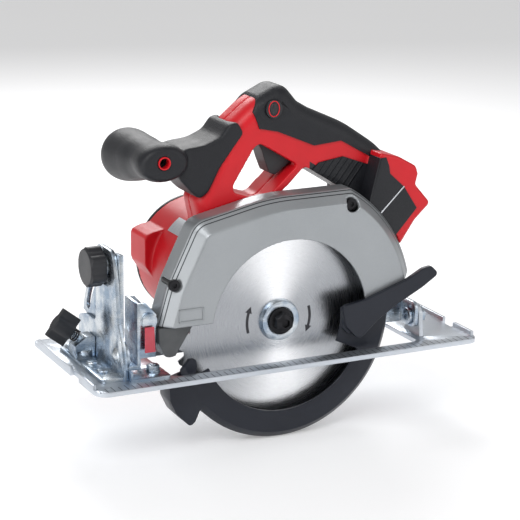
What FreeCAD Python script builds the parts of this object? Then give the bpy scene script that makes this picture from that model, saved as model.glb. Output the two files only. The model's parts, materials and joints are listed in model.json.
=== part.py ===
"""Cordless circular saw, built as an assembly of separate pieces.

Shapes are drawn about the arbor: X runs from the front to the rear of the saw, Y from the blade
to the motor, Z up, with zero at the arbor on the middle of the blade.  save() moves every piece
to the part's own frame, whose origin is on the sole, level with the arbor, on the broad deck.
"""

import FreeCAD, Part
import math
import os

from FreeCAD import Vector

# Blade and cut
BLADE_R = 82.5
BLADE_THICK = 1.2
BLADE_TEETH = 24
ARBOR_HEIGHT = 28.5
HANDLE_Y = 28.0
ORIGIN_Y = 62.0

# Fits
PLAY = 0.3
RUNNING = 0.05

# Shoe
SHOE_FRONT = -153.0
SHOE_REAR = 153.5
SHOE_LEFT = -32.4
SHOE_RIGHT = 97.0
SHOE_THICK = 3.5
SLOT_FRONT = -92.5
SLOT_REAR = 108.0
SLOT_LEFT = -20.0
SLOT_RIGHT = 36.5
LIP_HEIGHT = 3.2
LIP_THICK = 2.4
SOLE = -ARBOR_HEIGHT
DECK = SOLE + SHOE_THICK

# Bevel pivot, on the blade's plane, and its clamp
BEVEL_Z = -11.0
BEVEL_MAX = 50.0
BEVEL_BOLT_R = 64.0
BEVEL_BOLT_ANGLE = 21.0
PIVOT_R = 4.0
PLATE = 3.0
ARM_FRONT = -127.0
ARM_REAR = ARM_FRONT + PLATE
REAR_TAB_FRONT = 114.0
CLAMP_BOLT_R = 3.0

# Depth pivot and its arc
DEPTH_X = -105.0
DEPTH_Z = 14.0
DEPTH_MAX = 30.0
DEPTH_ARC_R = 150.0
DEPTH_ARC_WIDTH = 15.0
DEPTH_ARC_START = -6.0
DEPTH_ARC_Y = 12.5

# Upper guard
GUARD_LEFT = -15.0
GUARD_RIGHT = 10.0
GUARD_WALL = 2.2
GUARD_ARC_R = 108.5
GUARD_SLOPE_DEEP = 10.0
GUARD_SLOPE_WIDE = 9.0
GUARD_WINDOW_R = 62.0
GUARD_WINDOW = (3.0, 0.5)

# Lower guard
LOWER_R = BLADE_R + 4.5
LOWER_EDGE = 4.8
LOWER_EDGE_DEEP = 4.6
LOWER_WALL = 2.0
LOWER_LEFT = -12.2
LOWER_RIGHT = 6.2
LOWER_WINDOW_R = 66.0
LOWER_FRONT_ANGLE = 203.0
LOWER_REAR_ANGLE = 368.0
SPIGOT_R = 22.0

# Gears
MODULE = 1.0
GEAR_TEETH = 46
PINION_TEETH = 12
PRESSURE = 25.0
BACKLASH = 0.16
MOTOR_ANGLE = 125.0
CENTRES = MODULE * (GEAR_TEETH + PINION_TEETH) / 2
MOTOR_X = CENTRES * math.cos(math.radians(MOTOR_ANGLE))
MOTOR_Z = CENTRES * math.sin(math.radians(MOTOR_ANGLE))

# Gear case
CASE_R = 28.0
CASE_MOTOR_R = 22.0
CASE_WALL = 2.6
CASE_FRONT = GUARD_RIGHT
CASE_REAR = 31.5
COVER_THICK = 3.0
COVER_REAR = CASE_REAR + COVER_THICK

# Spindle
SHAFT_R = 5.0
BEARING_R = 13.0
BEARING_WIDE = 8.0
REAR_BEARING_R = 11.0
REAR_BEARING_WIDE = 7.0
GEAR_Y = 14.5
GEAR_WIDE = 8.0
BORE_R = 7.94
FLANGE_R = 15.8
BOLT_R = 4.0

# Motor
MOTOR_SHAFT_R = 3.0
MOTOR_BEARING_R = 9.5
MOTOR_BEARING_WIDE = 6.0
DRUM_R = 47.0
DRUM_WALL = 2.5
DRUM_END = 112.0
CAP_END = DRUM_END + 7.0
CAP_WALL = 3.0
STATOR_R = 34.0
CORE_R = 24.0
CORE_Y = 48.0
CORE_LONG = 42.0

# Handle
GRIP_HALF = 17.0
GRIP_ROUND = 10.0
SHELL_WALL = 3.0
FOOT_HALF = 32.0
FOOT_ROUND = 1.8
TRIGGER_HALF = 8.0
TRIGGER_TRAVEL = 6.0
SKIN = 1.2
LOCK_TRAVEL = 2.5


# ---- drawing helpers ----

def place(plane, across, up, off):
    """A point given by its two coordinates in a plane and its distance along the normal."""
    if plane == "xz":
        return Vector(across, off, up)
    if plane == "yz":
        return Vector(off, across, up)
    return Vector(across, up, off)


def normal(plane, length):
    """A vector of this length along a plane's normal axis."""
    return {"xz": Vector(0, length, 0), "yz": Vector(length, 0, 0), "xy": Vector(0, 0, length)}[plane]


def polar(centre, radius, degrees):
    """The point at this radius and angle about a centre, in a plane's own coordinates."""
    turn = math.radians(degrees)
    return centre[0] + radius * math.cos(turn), centre[1] + radius * math.sin(turn)


def corner(before, point, after, radius):
    """The start, middle and end of the arc that rounds one corner of an outline."""
    here = Vector(point[0], point[1], 0)
    back = Vector(before[0], before[1], 0) - here
    ahead = Vector(after[0], after[1], 0) - here
    room = 0.49 * min(back.Length, ahead.Length)
    back.normalize()
    ahead.normalize()
    half = back.getAngle(ahead) / 2
    reach = min(radius / math.tan(half), room)
    radius = reach * math.tan(half)
    inward = back + ahead
    inward.normalize()
    centre = here + inward * (radius / math.sin(half))
    return here + back * reach, centre - inward * radius, here + ahead * reach


def outline(points, plane, off):
    """A closed wire through points (across, up, corner radius), where the radius may be left out."""
    stations = []
    for i, point in enumerate(points):
        radius = point[2] if len(point) > 2 else 0
        if radius:
            stations.append(corner(points[i - 1], point, points[(i + 1) % len(points)], radius))
        else:
            stations.append((Vector(point[0], point[1], 0),))
    edges = []
    for i, station in enumerate(stations):
        spots = [place(plane, spot.x, spot.y, off) for spot in station]
        if len(spots) == 3:
            edges.append(Part.Arc(*spots).toShape())
        following = stations[(i + 1) % len(stations)][0]
        ahead = place(plane, following.x, following.y, off)
        if spots[-1].distanceToPoint(ahead) > 1e-6:
            edges.append(Part.LineSegment(spots[-1], ahead).toShape())
    return Part.Wire(edges)


def prism(points, plane, low, high):
    """An outline pushed along its plane's normal from low to high."""
    return Part.Face(outline(points, plane, low)).extrude(normal(plane, high - low))


def rod(plane, centre, radius, low, high):
    """A round bar along a plane's normal."""
    base = place(plane, centre[0], centre[1], low)
    return Part.makeCylinder(radius, high - low, base, normal(plane, 1))


def tube(plane, centre, radius, bore, low, high):
    """A round bar with a round hole through it."""
    return rod(plane, centre, radius, low, high).cut(rod(plane, centre, bore, low - 1, high + 1))


def block(low, high):
    """A box between two corners."""
    return Part.makeBox(high[0] - low[0], high[1] - low[1], high[2] - low[2], Vector(*low))


def sector(plane, centre, inner, outer, start, end, low, high):
    """A stretch of a flat ring, from one angle to another."""
    middle = (start + end) / 2

    def spot(radius, degrees):
        across, up = polar(centre, radius, degrees)
        return place(plane, across, up, low)

    edges = [
        Part.Arc(spot(outer, start), spot(outer, middle), spot(outer, end)).toShape(),
        Part.LineSegment(spot(outer, end), spot(inner, end)).toShape(),
        Part.Arc(spot(inner, end), spot(inner, middle), spot(inner, start)).toShape(),
        Part.LineSegment(spot(inner, start), spot(outer, start)).toShape(),
    ]
    return Part.Face(Part.Wire(edges)).extrude(normal(plane, high - low))


def arc_slot(plane, centre, radius, half, start, end, low, high):
    """A curved slot with round ends."""
    groove = sector(plane, centre, radius - half, radius + half, start, end, low, high)
    ends = [rod(plane, polar(centre, radius, angle), half, low, high) for angle in (start, end)]
    return groove.fuse(ends).removeSplitter()


def joined(first, *rest):
    """Several overlapping or touching solids as one."""
    return first.fuse(list(rest)).removeSplitter()


def without(solid, *tools):
    """A solid with several others cut away."""
    return solid.cut(list(tools)) if len(tools) > 1 else solid.cut(tools[0])


def hexagon(plane, centre, across_flats, low, high):
    """A six-sided bar."""
    radius = across_flats / math.sqrt(3)
    points = [polar(centre, radius, 30 + 60 * i) for i in range(6)]
    return prism(points, plane, low, high)


def coil(base, axis, radius, wire, pitch, turns):
    """A helical spring."""
    helix = Part.makeHelix(pitch, pitch * turns, radius)
    section = Part.Wire(Part.Circle(Vector(radius, 0, 0), Vector(0, 1, 0), wire).toShape())
    spring = Part.Wire(helix).makePipeShell([section], True, True)
    spring.Placement = FreeCAD.Placement(base, FreeCAD.Rotation(Vector(0, 0, 1), axis))
    return spring


saved = []


def save(name, *solids):
    """Write one node, moved to the part's own frame."""
    shape = solids[0] if len(solids) == 1 else Part.makeCompound(list(solids))
    shape = shape.copy()
    shape.translate(Vector(0, -ORIGIN_Y, ARBOR_HEIGHT))
    shape.exportStep("parts/" + name + ".step")
    saved.append(name)


# ---- shoe and its brackets ----

BEVEL = (0.0, BEVEL_Z)
BEVEL_BOLT = polar(BEVEL, BEVEL_BOLT_R, 90 - BEVEL_BOLT_ANGLE)
DEPTH = (DEPTH_X, DEPTH_Z)
RIVETS = [(-135.5, 4.0), (-135.5, 24.0), (-135.5, 66.0)]
STUDS = [(-137.0, 56.2), (-101.0, -5.0)]
RIVET_R = 2.1
FOOT_THICK = 2.5
FENCE_GAP = 5.0
FENCE_SCREW_R = 2.4
FENCE_Y = 38.0
FENCE_LONG = 13.0


def shoe_plate():
    plate = prism([(SHOE_FRONT, SHOE_LEFT, 10), (SHOE_REAR, SHOE_LEFT, 8),
                   (SHOE_REAR, SHOE_RIGHT, 8), (SHOE_FRONT, SHOE_RIGHT, 3)], "xy", SOLE, DECK)
    front_lip = block((SHOE_FRONT, SHOE_LEFT + 10, DECK), (SHOE_FRONT + LIP_THICK, SHOE_RIGHT - 8, DECK + LIP_HEIGHT))
    rear_lip = block((SHOE_REAR - LIP_THICK, SHOE_LEFT + 8, DECK), (SHOE_REAR, SHOE_RIGHT - 8, DECK + LIP_HEIGHT))
    beads = [block((-70, y, DECK), (120, y + 7, DECK + 1.2)) for y in (50, 72)]
    tab = prism([(-11, DECK), (11, DECK), (9, BEVEL_Z + 4, 3), (5, BEVEL_Z + 9, 4), (-5, BEVEL_Z + 9, 4),
                 (-9, BEVEL_Z + 4, 3)], "yz", REAR_TAB_FRONT, REAR_TAB_FRONT + SHOE_THICK)
    shoe = joined(plate, front_lip, rear_lip, tab, *beads)
    slot = prism([(SLOT_FRONT, SLOT_LEFT, 6), (SLOT_REAR, SLOT_LEFT, 6), (SLOT_REAR, SLOT_RIGHT, 6),
                  (SLOT_FRONT, SLOT_RIGHT, 6)], "xy", SOLE - 1, DECK + 5)
    front_notch = block((SHOE_FRONT - 1, 5, SOLE - 1), (SHOE_FRONT + 3, 21, DECK + 5))
    rear_notch = block((SHOE_REAR - 4, 1, SOLE - 1), (SHOE_REAR + 1, 15, DECK + 5))
    holes = [rod("xy", spot, RIVET_R, SOLE - 1, DECK + 1) for spot in RIVETS + STUDS]
    pivot = rod("yz", BEVEL, PIVOT_R, REAR_TAB_FRONT - 1, REAR_TAB_FRONT + SHOE_THICK + 1)
    return without(shoe, slot, front_notch, rear_notch, pivot, *holes)


def bevel_bracket():
    """The foot riveted to the shoe, and the upright arm that the bevel clamp grips."""
    foot_top = DECK + FOOT_THICK
    foot = prism([(-143, -14, 3), (ARM_REAR, -14), (ARM_REAR, 72), (-143, 72, 5)], "xy", DECK, foot_top)
    arm_y, arm_z = BEVEL_BOLT
    upright = prism([(-16, DECK), (72, DECK), (72, 0, 6), (58, 4, 8), (38, 4, 4), (arm_y + 13, arm_z + 3, 6),
                     (arm_y + 11, arm_z + 14, 8), (arm_y - 17, arm_z + 14, 8), (arm_y - 22, arm_z - 4, 6),
                     (-3, 12, 6), (-11, BEVEL_Z + 9, 6), (-14, BEVEL_Z - 2, 4)], "yz", ARM_FRONT, ARM_REAR)
    bracket = joined(foot, upright)
    holes = [rod("xy", spot, RIVET_R, DECK - 1, foot_top + 1) for spot in RIVETS]
    holes.append(rod("xy", STUDS[0], RIVET_R, DECK - 1, foot_top + 1))
    holes.append(rod("yz", BEVEL, PIVOT_R, ARM_FRONT - 1, ARM_REAR + 1))
    holes.append(rod("yz", BEVEL_BOLT, CLAMP_BOLT_R + RUNNING, ARM_FRONT - 1, ARM_REAR + 1))
    return without(bracket, *holes)


def rivet(spot):
    floor = DECK + FOOT_THICK
    shank = rod("xy", spot, RIVET_R, SOLE + 0.3, floor)
    head = rod("xy", spot, 4.2, floor, floor + 2)
    top = [edge for edge in head.Edges if edge.BoundBox.ZMin > floor + 1.9]
    return joined(shank, head.makeFillet(1.6, top))


def stud(spot, floor):
    """A threaded stud that stands on the deck with its nut."""
    shank = rod("xy", spot, RIVET_R, SOLE + 0.3, floor + 5)
    washer = rod("xy", spot, 5.2, floor, floor + 1)
    nut = hexagon("xy", spot, 8, floor + 1, floor + 4.2)
    return joined(shank, washer, nut)


def front_pivot():
    """The rivet that the front of the tilting frame turns on."""
    head = Part.makeSphere(8.5, Vector(ARM_FRONT + 6.1, 0, BEVEL_Z))
    dome = head.common(rod("yz", BEVEL, 6.2, ARM_FRONT - 2.6, ARM_FRONT))
    shank = rod("yz", BEVEL, PIVOT_R, ARM_FRONT, ARM_REAR + PLAY + PLATE + PLAY)
    tail = rod("yz", BEVEL, 5.5, ARM_REAR + PLATE + 2 * PLAY, ARM_REAR + PLATE + 2 * PLAY + 1.4)
    return joined(dome, shank, tail)


def rear_pivot():
    """The bolt and nut that the rear of the tilting frame turns on."""
    plate_front = REAR_TAB_FRONT - PLAY - PLATE
    head = rod("yz", BEVEL, 6.5, plate_front - PLAY - 2.6, plate_front - PLAY)
    socket = hexagon("yz", BEVEL, 4, plate_front - PLAY - 3, plate_front - PLAY - 1)
    shank = rod("yz", BEVEL, PIVOT_R, plate_front - PLAY, REAR_TAB_FRONT + SHOE_THICK + 6)
    nut = hexagon("yz", BEVEL, 11, REAR_TAB_FRONT + SHOE_THICK, REAR_TAB_FRONT + SHOE_THICK + 4.5)
    return joined(head, shank, nut).cut(socket)


def sight_bracket():
    """The small cutting-line bracket at the front of the blade slot."""
    front = ARM_REAR + PLAY
    base = prism([(front, -20, 2), (-93.5, -20, 2), (-93.5, 2, 3), (-110, 2), (-110, -8), (front, -8)],
                 "xy", DECK, DECK + SIGHT_THICK)
    lip = block((front, -20, DECK), (front + SIGHT_THICK, -9, DECK + 7))
    return joined(base, lip).cut(rod("xy", STUDS[1], RIVET_R, DECK - 1, DECK + 3))


SIGHT_THICK = 1.6
FENCE_TILT = 38.0
FENCE_SEAT = Vector(-132.0, FENCE_Y + FENCE_LONG / 2, DECK + 11.5)


def fence_axis():
    turn = math.radians(FENCE_TILT)
    return Vector(-math.cos(turn), 0, math.sin(turn))


def fence_clamp():
    """The channel that takes a rip fence bar, with the sloping bore of its thumb screw."""
    y0, y1 = FENCE_Y, FENCE_Y + FENCE_LONG
    floor = DECK + FOOT_THICK
    body = prism([(-142.6, floor), (-127.4, floor), (-127.4, floor + 15, 1), (-134, floor + 15, 1),
                  (-142.6, floor + 9, 1)], "xz", y0, y1)
    channel = block((-141, y0 - 1, floor), (-129.5, y1 + 1, floor + FENCE_GAP))
    bore = Part.makeCylinder(FENCE_SCREW_R + 0.08, 30, FENCE_SEAT - fence_axis() * 2.2, fence_axis())
    return without(body, channel, bore)


def fence_screw():
    start = FENCE_SEAT - fence_axis() * 2.0
    return Part.makeCylinder(FENCE_SCREW_R, 20, start, fence_axis())


def fence_spring():
    start = FENCE_SEAT + fence_axis() * 8.6
    return coil(start, fence_axis(), 4.0, 0.6, 1.8, 2.6)


def fence_knob():
    """A winged thumb knob on the end of the fence screw."""
    start = FENCE_SEAT + fence_axis() * 14.0
    axis = fence_axis()
    hub = Part.makeCylinder(6.5, 16, start, axis)
    wings = Part.makeBox(23, 6, 16, Vector(-11.5, -3, 0))
    wings.Placement = FreeCAD.Placement(start, FreeCAD.Rotation(Vector(0, 0, 1), axis))
    bore = Part.makeCylinder(FENCE_SCREW_R, 4.0, start, axis)
    return joined(hub, wings).cut(bore)


# ---- tilting frame ----

TILT_FRONT = ARM_REAR + PLAY
BRACKET_LEFT = -7.0
BRACKET_RIGHT = 16.0
BRACKET_WALL = 2.5
BRACKET_FRONT = -113.5
BRACKET_REAR = -99.3
BRACKET_TOP = 27.0
BRACKET_BOTTOM = -13.0
DEPTH_PIN_R = 3.0
LUG_R = 5.0


def tilt_bracket():
    """The bevel quadrant at the front, and the fork behind it that holds the depth pivot."""
    end_angle = 90 - BEVEL_BOLT_ANGLE - BEVEL_MAX
    plate = joined(
        sector("yz", BEVEL, 10, BEVEL_BOLT_R + 8, end_angle - 7, 90, TILT_FRONT, TILT_FRONT + PLATE),
        rod("yz", BEVEL, 10.6, TILT_FRONT, TILT_FRONT + PLATE))
    window = sector("yz", BEVEL, 24, BEVEL_BOLT_R - 12, end_angle + 6, 74, TILT_FRONT - 1, TILT_FRONT + PLATE + 1)
    slot = arc_slot("yz", BEVEL, BEVEL_BOLT_R, CLAMP_BOLT_R + 0.4, end_angle, 90 - BEVEL_BOLT_ANGLE,
                    TILT_FRONT - 1, TILT_FRONT + PLATE + 1)
    pivot = rod("yz", BEVEL, PIVOT_R + RUNNING, TILT_FRONT - 1, TILT_FRONT + PLATE + 1)
    plate = without(plate, window, slot, pivot)
    link = block((TILT_FRONT + PLATE, BRACKET_LEFT, BEVEL_Z - 10), (BRACKET_FRONT + BRACKET_WALL, BRACKET_RIGHT, BEVEL_Z - 7))
    riser = block((TILT_FRONT, BRACKET_LEFT, BEVEL_Z - 10), (TILT_FRONT + PLATE, BRACKET_RIGHT, BEVEL_Z - 6))
    web = block((BRACKET_FRONT, BRACKET_LEFT, BEVEL_Z - 10), (BRACKET_FRONT + BRACKET_WALL, BRACKET_RIGHT, BRACKET_TOP))
    cheek = [(BRACKET_FRONT, BRACKET_BOTTOM), (BRACKET_REAR, BRACKET_BOTTOM), (BRACKET_REAR, BRACKET_TOP - 9),
             (BRACKET_REAR - 8, BRACKET_TOP), (BRACKET_FRONT, BRACKET_TOP)]
    sides = [prism(cheek, "xz", y, y + BRACKET_WALL) for y in (BRACKET_LEFT, BRACKET_RIGHT - BRACKET_WALL)]
    pin = rod("xz", DEPTH, DEPTH_PIN_R, BRACKET_LEFT - 1, BRACKET_RIGHT + 1)
    return joined(plate, link, riser, web, *sides).cut(pin)


def depth_pin():
    """The pin through the fork that the head turns on."""
    shank = rod("xz", DEPTH, DEPTH_PIN_R, BRACKET_LEFT - 0.8, BRACKET_RIGHT + 0.8)
    head = rod("xz", DEPTH, 5.6, BRACKET_LEFT - 2.4, BRACKET_LEFT)
    clip = rod("xz", DEPTH, 5.6, BRACKET_RIGHT, BRACKET_RIGHT + 1.4)
    return joined(shank, head, clip)


def depth_bracket():
    """The rear tilting plate with the curved arm of the depth setting."""
    y0, y1 = DEPTH_ARC_Y, DEPTH_ARC_Y + PLATE
    half = DEPTH_ARC_WIDTH / 2
    arc_end = DEPTH_ARC_START + DEPTH_MAX
    arm = sector("xz", DEPTH, DEPTH_ARC_R - half, DEPTH_ARC_R + half, DEPTH_ARC_START - 6, arc_end + 3.4, y0, y1)
    plate_front = REAR_TAB_FRONT - PLAY - PLATE
    foot = prism([(38, BEVEL_Z - 8), (plate_front + PLATE, BEVEL_Z - 8), (plate_front + PLATE, BEVEL_Z + 12, 8),
                  (88, BEVEL_Z + 5, 10), (38, BEVEL_Z + 5)], "xz", y0, y1)
    ear = prism([(-9, BEVEL_Z - 6, 5), (-9, BEVEL_Z + 12, 6), (y1, BEVEL_Z + 12), (y1, BEVEL_Z - 8), (-4, BEVEL_Z - 8, 5)],
                "yz", plate_front, plate_front + PLATE)
    slot = arc_slot("xz", DEPTH, DEPTH_ARC_R, CLAMP_BOLT_R + 0.4, DEPTH_ARC_START, arc_end, y0 - 1, y1 + 1)
    pivot = rod("yz", BEVEL, PIVOT_R + RUNNING, plate_front - 1, plate_front + PLATE + 1)
    return without(joined(arm, foot, ear), slot, pivot)


def bevel_bolt():
    """The carriage bolt that clamps the quadrant to the arm."""
    head_front = TILT_FRONT + PLATE + PLAY
    shank = rod("yz", BEVEL_BOLT, CLAMP_BOLT_R, ARM_FRONT - 9, head_front)
    head = rod("yz", BEVEL_BOLT, 6.5, head_front, head_front + 2.6)
    return joined(shank, head)


KNOB_REAR = ARM_FRONT - 1.6
KNOB_LONG = 12.0
KNOB_R = 14.5


def bevel_washer():
    return tube("yz", BEVEL_BOLT, 8.0, CLAMP_BOLT_R + 0.2, ARM_FRONT - 1.3, ARM_FRONT)


def bevel_knob():
    """The lobed bevel clamp knob."""
    core = rod("yz", BEVEL_BOLT, KNOB_R - 1.5, KNOB_REAR - KNOB_LONG, KNOB_REAR)
    lobes = [rod("yz", polar(BEVEL_BOLT, KNOB_R - 5.5, 30 + 60 * i), 5.5, KNOB_REAR - KNOB_LONG + 1, KNOB_REAR)
             for i in range(6)]
    bore = rod("yz", BEVEL_BOLT, CLAMP_BOLT_R + RUNNING, ARM_FRONT - 9.3, KNOB_REAR + 1)
    return joined(core, *lobes).cut(bore)


# ---- guards ----

GUARD_OUTLINE = [(-101, -20), (-99, 7), (-90, 38, 60), (-69.5, 80.5, 15), (-12, 93.2, 150), (60, 94.0),
                 (130, 94.0), (130, -20)]
GUARD_FLOOR = [(-130, -40), (-130, 8), (66, 8, 6), (112, 28), (140, 28), (140, -40)]
GUARD_SCREWS = [(-87.5, 38.5), (52.0, 83.5)]


def guard_shape(inset):
    """The upper guard's outer body, or with an inset, the space inside it."""
    left = GUARD_LEFT + inset
    right = GUARD_RIGHT - inset
    shoulder = GUARD_LEFT + GUARD_SLOPE_DEEP + inset * 0.3
    wide = outline(GUARD_OUTLINE, "xz", shoulder).makeOffset2D(-inset) if inset else outline(GUARD_OUTLINE, "xz", shoulder)
    narrow = outline(GUARD_OUTLINE, "xz", left).makeOffset2D(-GUARD_SLOPE_WIDE - inset)
    slope = Part.makeLoft([narrow, wide], True, True)
    body = Part.Face(wide).extrude(Vector(0, right - shoulder, 0))
    cone = Part.makeCone(GUARD_ARC_R - inset - GUARD_SLOPE_WIDE, GUARD_ARC_R - inset, shoulder - left,
                         Vector(0, left, 0), Vector(0, 1, 0))
    drum = rod("xz", (0, 0), GUARD_ARC_R - inset, shoulder, right)
    return joined(slope, body).common(joined(cone, drum))


def upper_guard():
    shell = guard_shape(0).cut(guard_shape(GUARD_WALL))
    floor = prism(GUARD_FLOOR, "xz", GUARD_LEFT - 5, GUARD_RIGHT + 5)
    window = rod("xz", GUARD_WINDOW, GUARD_WINDOW_R, GUARD_LEFT - 1, GUARD_LEFT + 6)
    hub = rod("xz", (0, 0), SPIGOT_R + 0.2, 0, GUARD_RIGHT + 1)
    posts = [rod("xz", spot, 5.2, GUARD_LEFT + 6, GUARD_RIGHT - 1) for spot in GUARD_SCREWS]
    pockets = [rod("xz", spot, 5.4, GUARD_LEFT - 1, GUARD_LEFT + 6) for spot in GUARD_SCREWS]
    bores = [rod("xz", spot, 2.2, GUARD_LEFT, GUARD_RIGHT - 3) for spot in GUARD_SCREWS]
    outer = guard_shape(0)
    posts = [post.common(outer) for post in posts]
    return without(joined(shell, *posts), floor, window, hub, *pockets, *bores)


def guard_screws():
    screws = []
    for spot in GUARD_SCREWS:
        head = rod("xz", spot, 4.2, GUARD_LEFT + 3.2, GUARD_LEFT + 6)
        socket = hexagon("xz", spot, 3.4, GUARD_LEFT + 3, GUARD_LEFT + 4.8)
        shank = rod("xz", spot, 2.2, GUARD_LEFT + 6, GUARD_RIGHT - 3.2)
        screws.append(joined(head, shank).cut(socket))
    return screws


def guard_nose():
    """The casting in front of the blade, with the lug that turns on the depth pin."""
    cheeks = prism([(-98.5, 7.9), (-72, 7.9), (-86, -14, 3), (-93, -14, 3), (-98, -4, 4)], "xz", -10, 10)
    lug_left = BRACKET_LEFT + BRACKET_WALL + PLAY
    lug_right = BRACKET_RIGHT - BRACKET_WALL - PLAY
    lug = rod("xz", DEPTH, LUG_R, lug_left, lug_right)
    neck = prism([(DEPTH_X, DEPTH_Z - LUG_R), (-92, 2), (-90.5, 7.9), (-93.5, 16), (DEPTH_X, DEPTH_Z + LUG_R)],
                 "xz", lug_left, lug_right)
    blade_gap = rod("xz", (0, 0), BLADE_R + 2.0, -3, 3)
    bore = rod("xz", DEPTH, DEPTH_PIN_R + RUNNING, -20, 30)
    guard = upper_guard_wall_front()
    return without(joined(cheeks, lug, neck), blade_gap, bore, guard)


def upper_guard_wall_front():
    """The part of the upper guard that the nose's neck passes through."""
    return guard_shape(0).cut(prism(GUARD_FLOOR, "xz", GUARD_LEFT - 5, GUARD_RIGHT + 5))


def lower_drum(inset):
    """The lower guard's full drum with its chamfered left edge, or with an inset, the space inside."""
    left = LOWER_LEFT + inset
    edge = left + LOWER_EDGE_DEEP
    radius = LOWER_R - inset
    cone = Part.makeCone(radius - LOWER_EDGE, radius, LOWER_EDGE_DEEP, Vector(0, left, 0), Vector(0, 1, 0))
    return joined(cone, rod("xz", (0, 0), radius, edge, LOWER_RIGHT - inset))


def lower_guard():
    """The swinging guard: a chamfered channel open at the top, with its hub, hook and bumper."""
    hub_r = SPIGOT_R + RUNNING
    drum = lower_drum(0)
    stretch = sector("xz", (0, 0), hub_r, LOWER_R + 1, LOWER_FRONT_ANGLE, LOWER_REAR_ANGLE, LOWER_LEFT, LOWER_RIGHT)
    window = rod("xz", (0, 0), LOWER_WINDOW_R, LOWER_LEFT - 1, LOWER_LEFT + LOWER_WALL)
    channel = drum.cut(lower_drum(LOWER_WALL)).common(stretch).cut(window)
    hub = tube("xz", (0, 0), SPIGOT_R + 5, hub_r, LOWER_RIGHT - LOWER_WALL, LOWER_RIGHT)
    web = sector("xz", (0, 0), 46, LOWER_R - LOWER_EDGE - 1, 336, LOWER_REAR_ANGLE, LOWER_LEFT, LOWER_LEFT + LOWER_WALL)
    hook = prism([(-91.2, -36), (-90.7, -46, 6), (-85.5, -57, 9), (-75, -67.5, 3), (-71, -64, 3), (-68, -57),
                  (-60, -50), (-74, -31)], "xz", LOWER_LEFT, LOWER_RIGHT)
    bumper = prism([(-84, -27, 2), (-76, -17, 2), (-71, -17, 2.4), (-70, -22.5, 2.4), (-73, -34), (-83, -38)],
                   "xz", LOWER_LEFT, LOWER_LEFT + 3.5).common(drum)
    return joined(channel, hub, web, hook.cut(lower_drum(LOWER_WALL)), bumper)


LEVER_LEFT = -19.8
LEVER_RIGHT = -15.8


def guard_lever():
    """The thumb lever of the lower guard, carried past the upper guard's face."""
    step = prism([(44, 7, 4), (57, 10, 3), (58, -4, 3), (52, -16, 4), (45, -8, 4)], "xz", LEVER_RIGHT - 0.5, LOWER_LEFT)
    blade = prism([(42, 9.5, 4), (62, 12.5, 8), (97, 24, 20), (110, 31, 6), (117, 32, 3), (124, 25.5, 3), (110, 16.5, 6),
                   (89, 6, 12), (73, -4, 8), (57, -18, 5), (46, -6, 6)], "xz", LEVER_LEFT, LEVER_RIGHT)
    return joined(blade, step)


def guard_spring():
    """The wire spring, coiled round the hub, that closes the lower guard."""
    return Part.makeTorus(SPIGOT_R + 3.0, 0.55, Vector(0, 7.1, 0), Vector(0, 1, 0))


# ---- gear case and spindle ----

MOTOR = (MOTOR_X, MOTOR_Z)
CASE_NOSE = LOWER_RIGHT - LOWER_WALL
SEAT_LIP = 0.6
LOCK = (18.5, -6.0)
LOCK_PIN_R = 3.0
LOCK_TIP = -26.2
LUG = polar(DEPTH, DEPTH_ARC_R, DEPTH_ARC_START)
LUG_FRONT = DEPTH_ARC_Y + PLATE + PLAY
LUG_REAR = LUG_FRONT + 4.0


def case_outline(extra, low, high):
    return joined(rod("xz", (0, 0), CASE_R + extra, low, high), rod("xz", MOTOR, CASE_MOTOR_R + extra, low, high))


def gear_case():
    body = case_outline(0, CASE_FRONT, CASE_REAR)
    spigot = rod("xz", (0, 0), SPIGOT_R, CASE_NOSE, CASE_FRONT)
    wing = prism([(20, -8, 0), (LUG[0], LUG[1] - 9, 8), (LUG[0] + 9, LUG[1], 8), (LUG[0], LUG[1] + 9, 8), (20, 14, 0)],
                 "xz", LUG_FRONT, LUG_REAR)
    cavity = joined(rod("xz", (0, 0), CASE_R - CASE_WALL, CASE_FRONT + 3, CASE_REAR),
                    rod("xz", MOTOR, CASE_MOTOR_R - CASE_WALL, CASE_FRONT + 3, CASE_REAR))
    seat = rod("xz", (0, 0), BEARING_R, CASE_NOSE + SEAT_LIP, CASE_FRONT + 4)
    mouth = rod("xz", (0, 0), 9, 0, CASE_FRONT)
    lug_bore = rod("xz", LUG, CLAMP_BOLT_R, LUG_FRONT - 1, LUG_REAR + 1)
    lock_bore = rod("yz", LOCK, LOCK_PIN_R + RUNNING, -CASE_R - 5, -15)
    return without(joined(body, spigot, wing), cavity, seat, mouth, lug_bore, lock_bore)


def gear_cover():
    """The plate that closes the gear case and holds the two inner bearings."""
    plate = case_outline(0, CASE_REAR, COVER_REAR)
    boss = rod("xz", (0, 0), REAR_BEARING_R + 2.5, CASE_REAR - REAR_BEARING_WIDE, CASE_REAR)
    motor_boss = rod("xz", MOTOR, MOTOR_BEARING_R + 2, COVER_REAR - MOTOR_BEARING_WIDE - 1, CASE_REAR)
    seat = rod("xz", (0, 0), REAR_BEARING_R, CASE_REAR - REAR_BEARING_WIDE - 1, CASE_REAR)
    motor_seat = rod("xz", MOTOR, MOTOR_BEARING_R, COVER_REAR - MOTOR_BEARING_WIDE, COVER_REAR + 1)
    motor_mouth = rod("xz", MOTOR, 6, COVER_REAR - MOTOR_BEARING_WIDE - 2, COVER_REAR)
    return without(joined(plate, boss, motor_boss), seat, motor_seat, motor_mouth)


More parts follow.
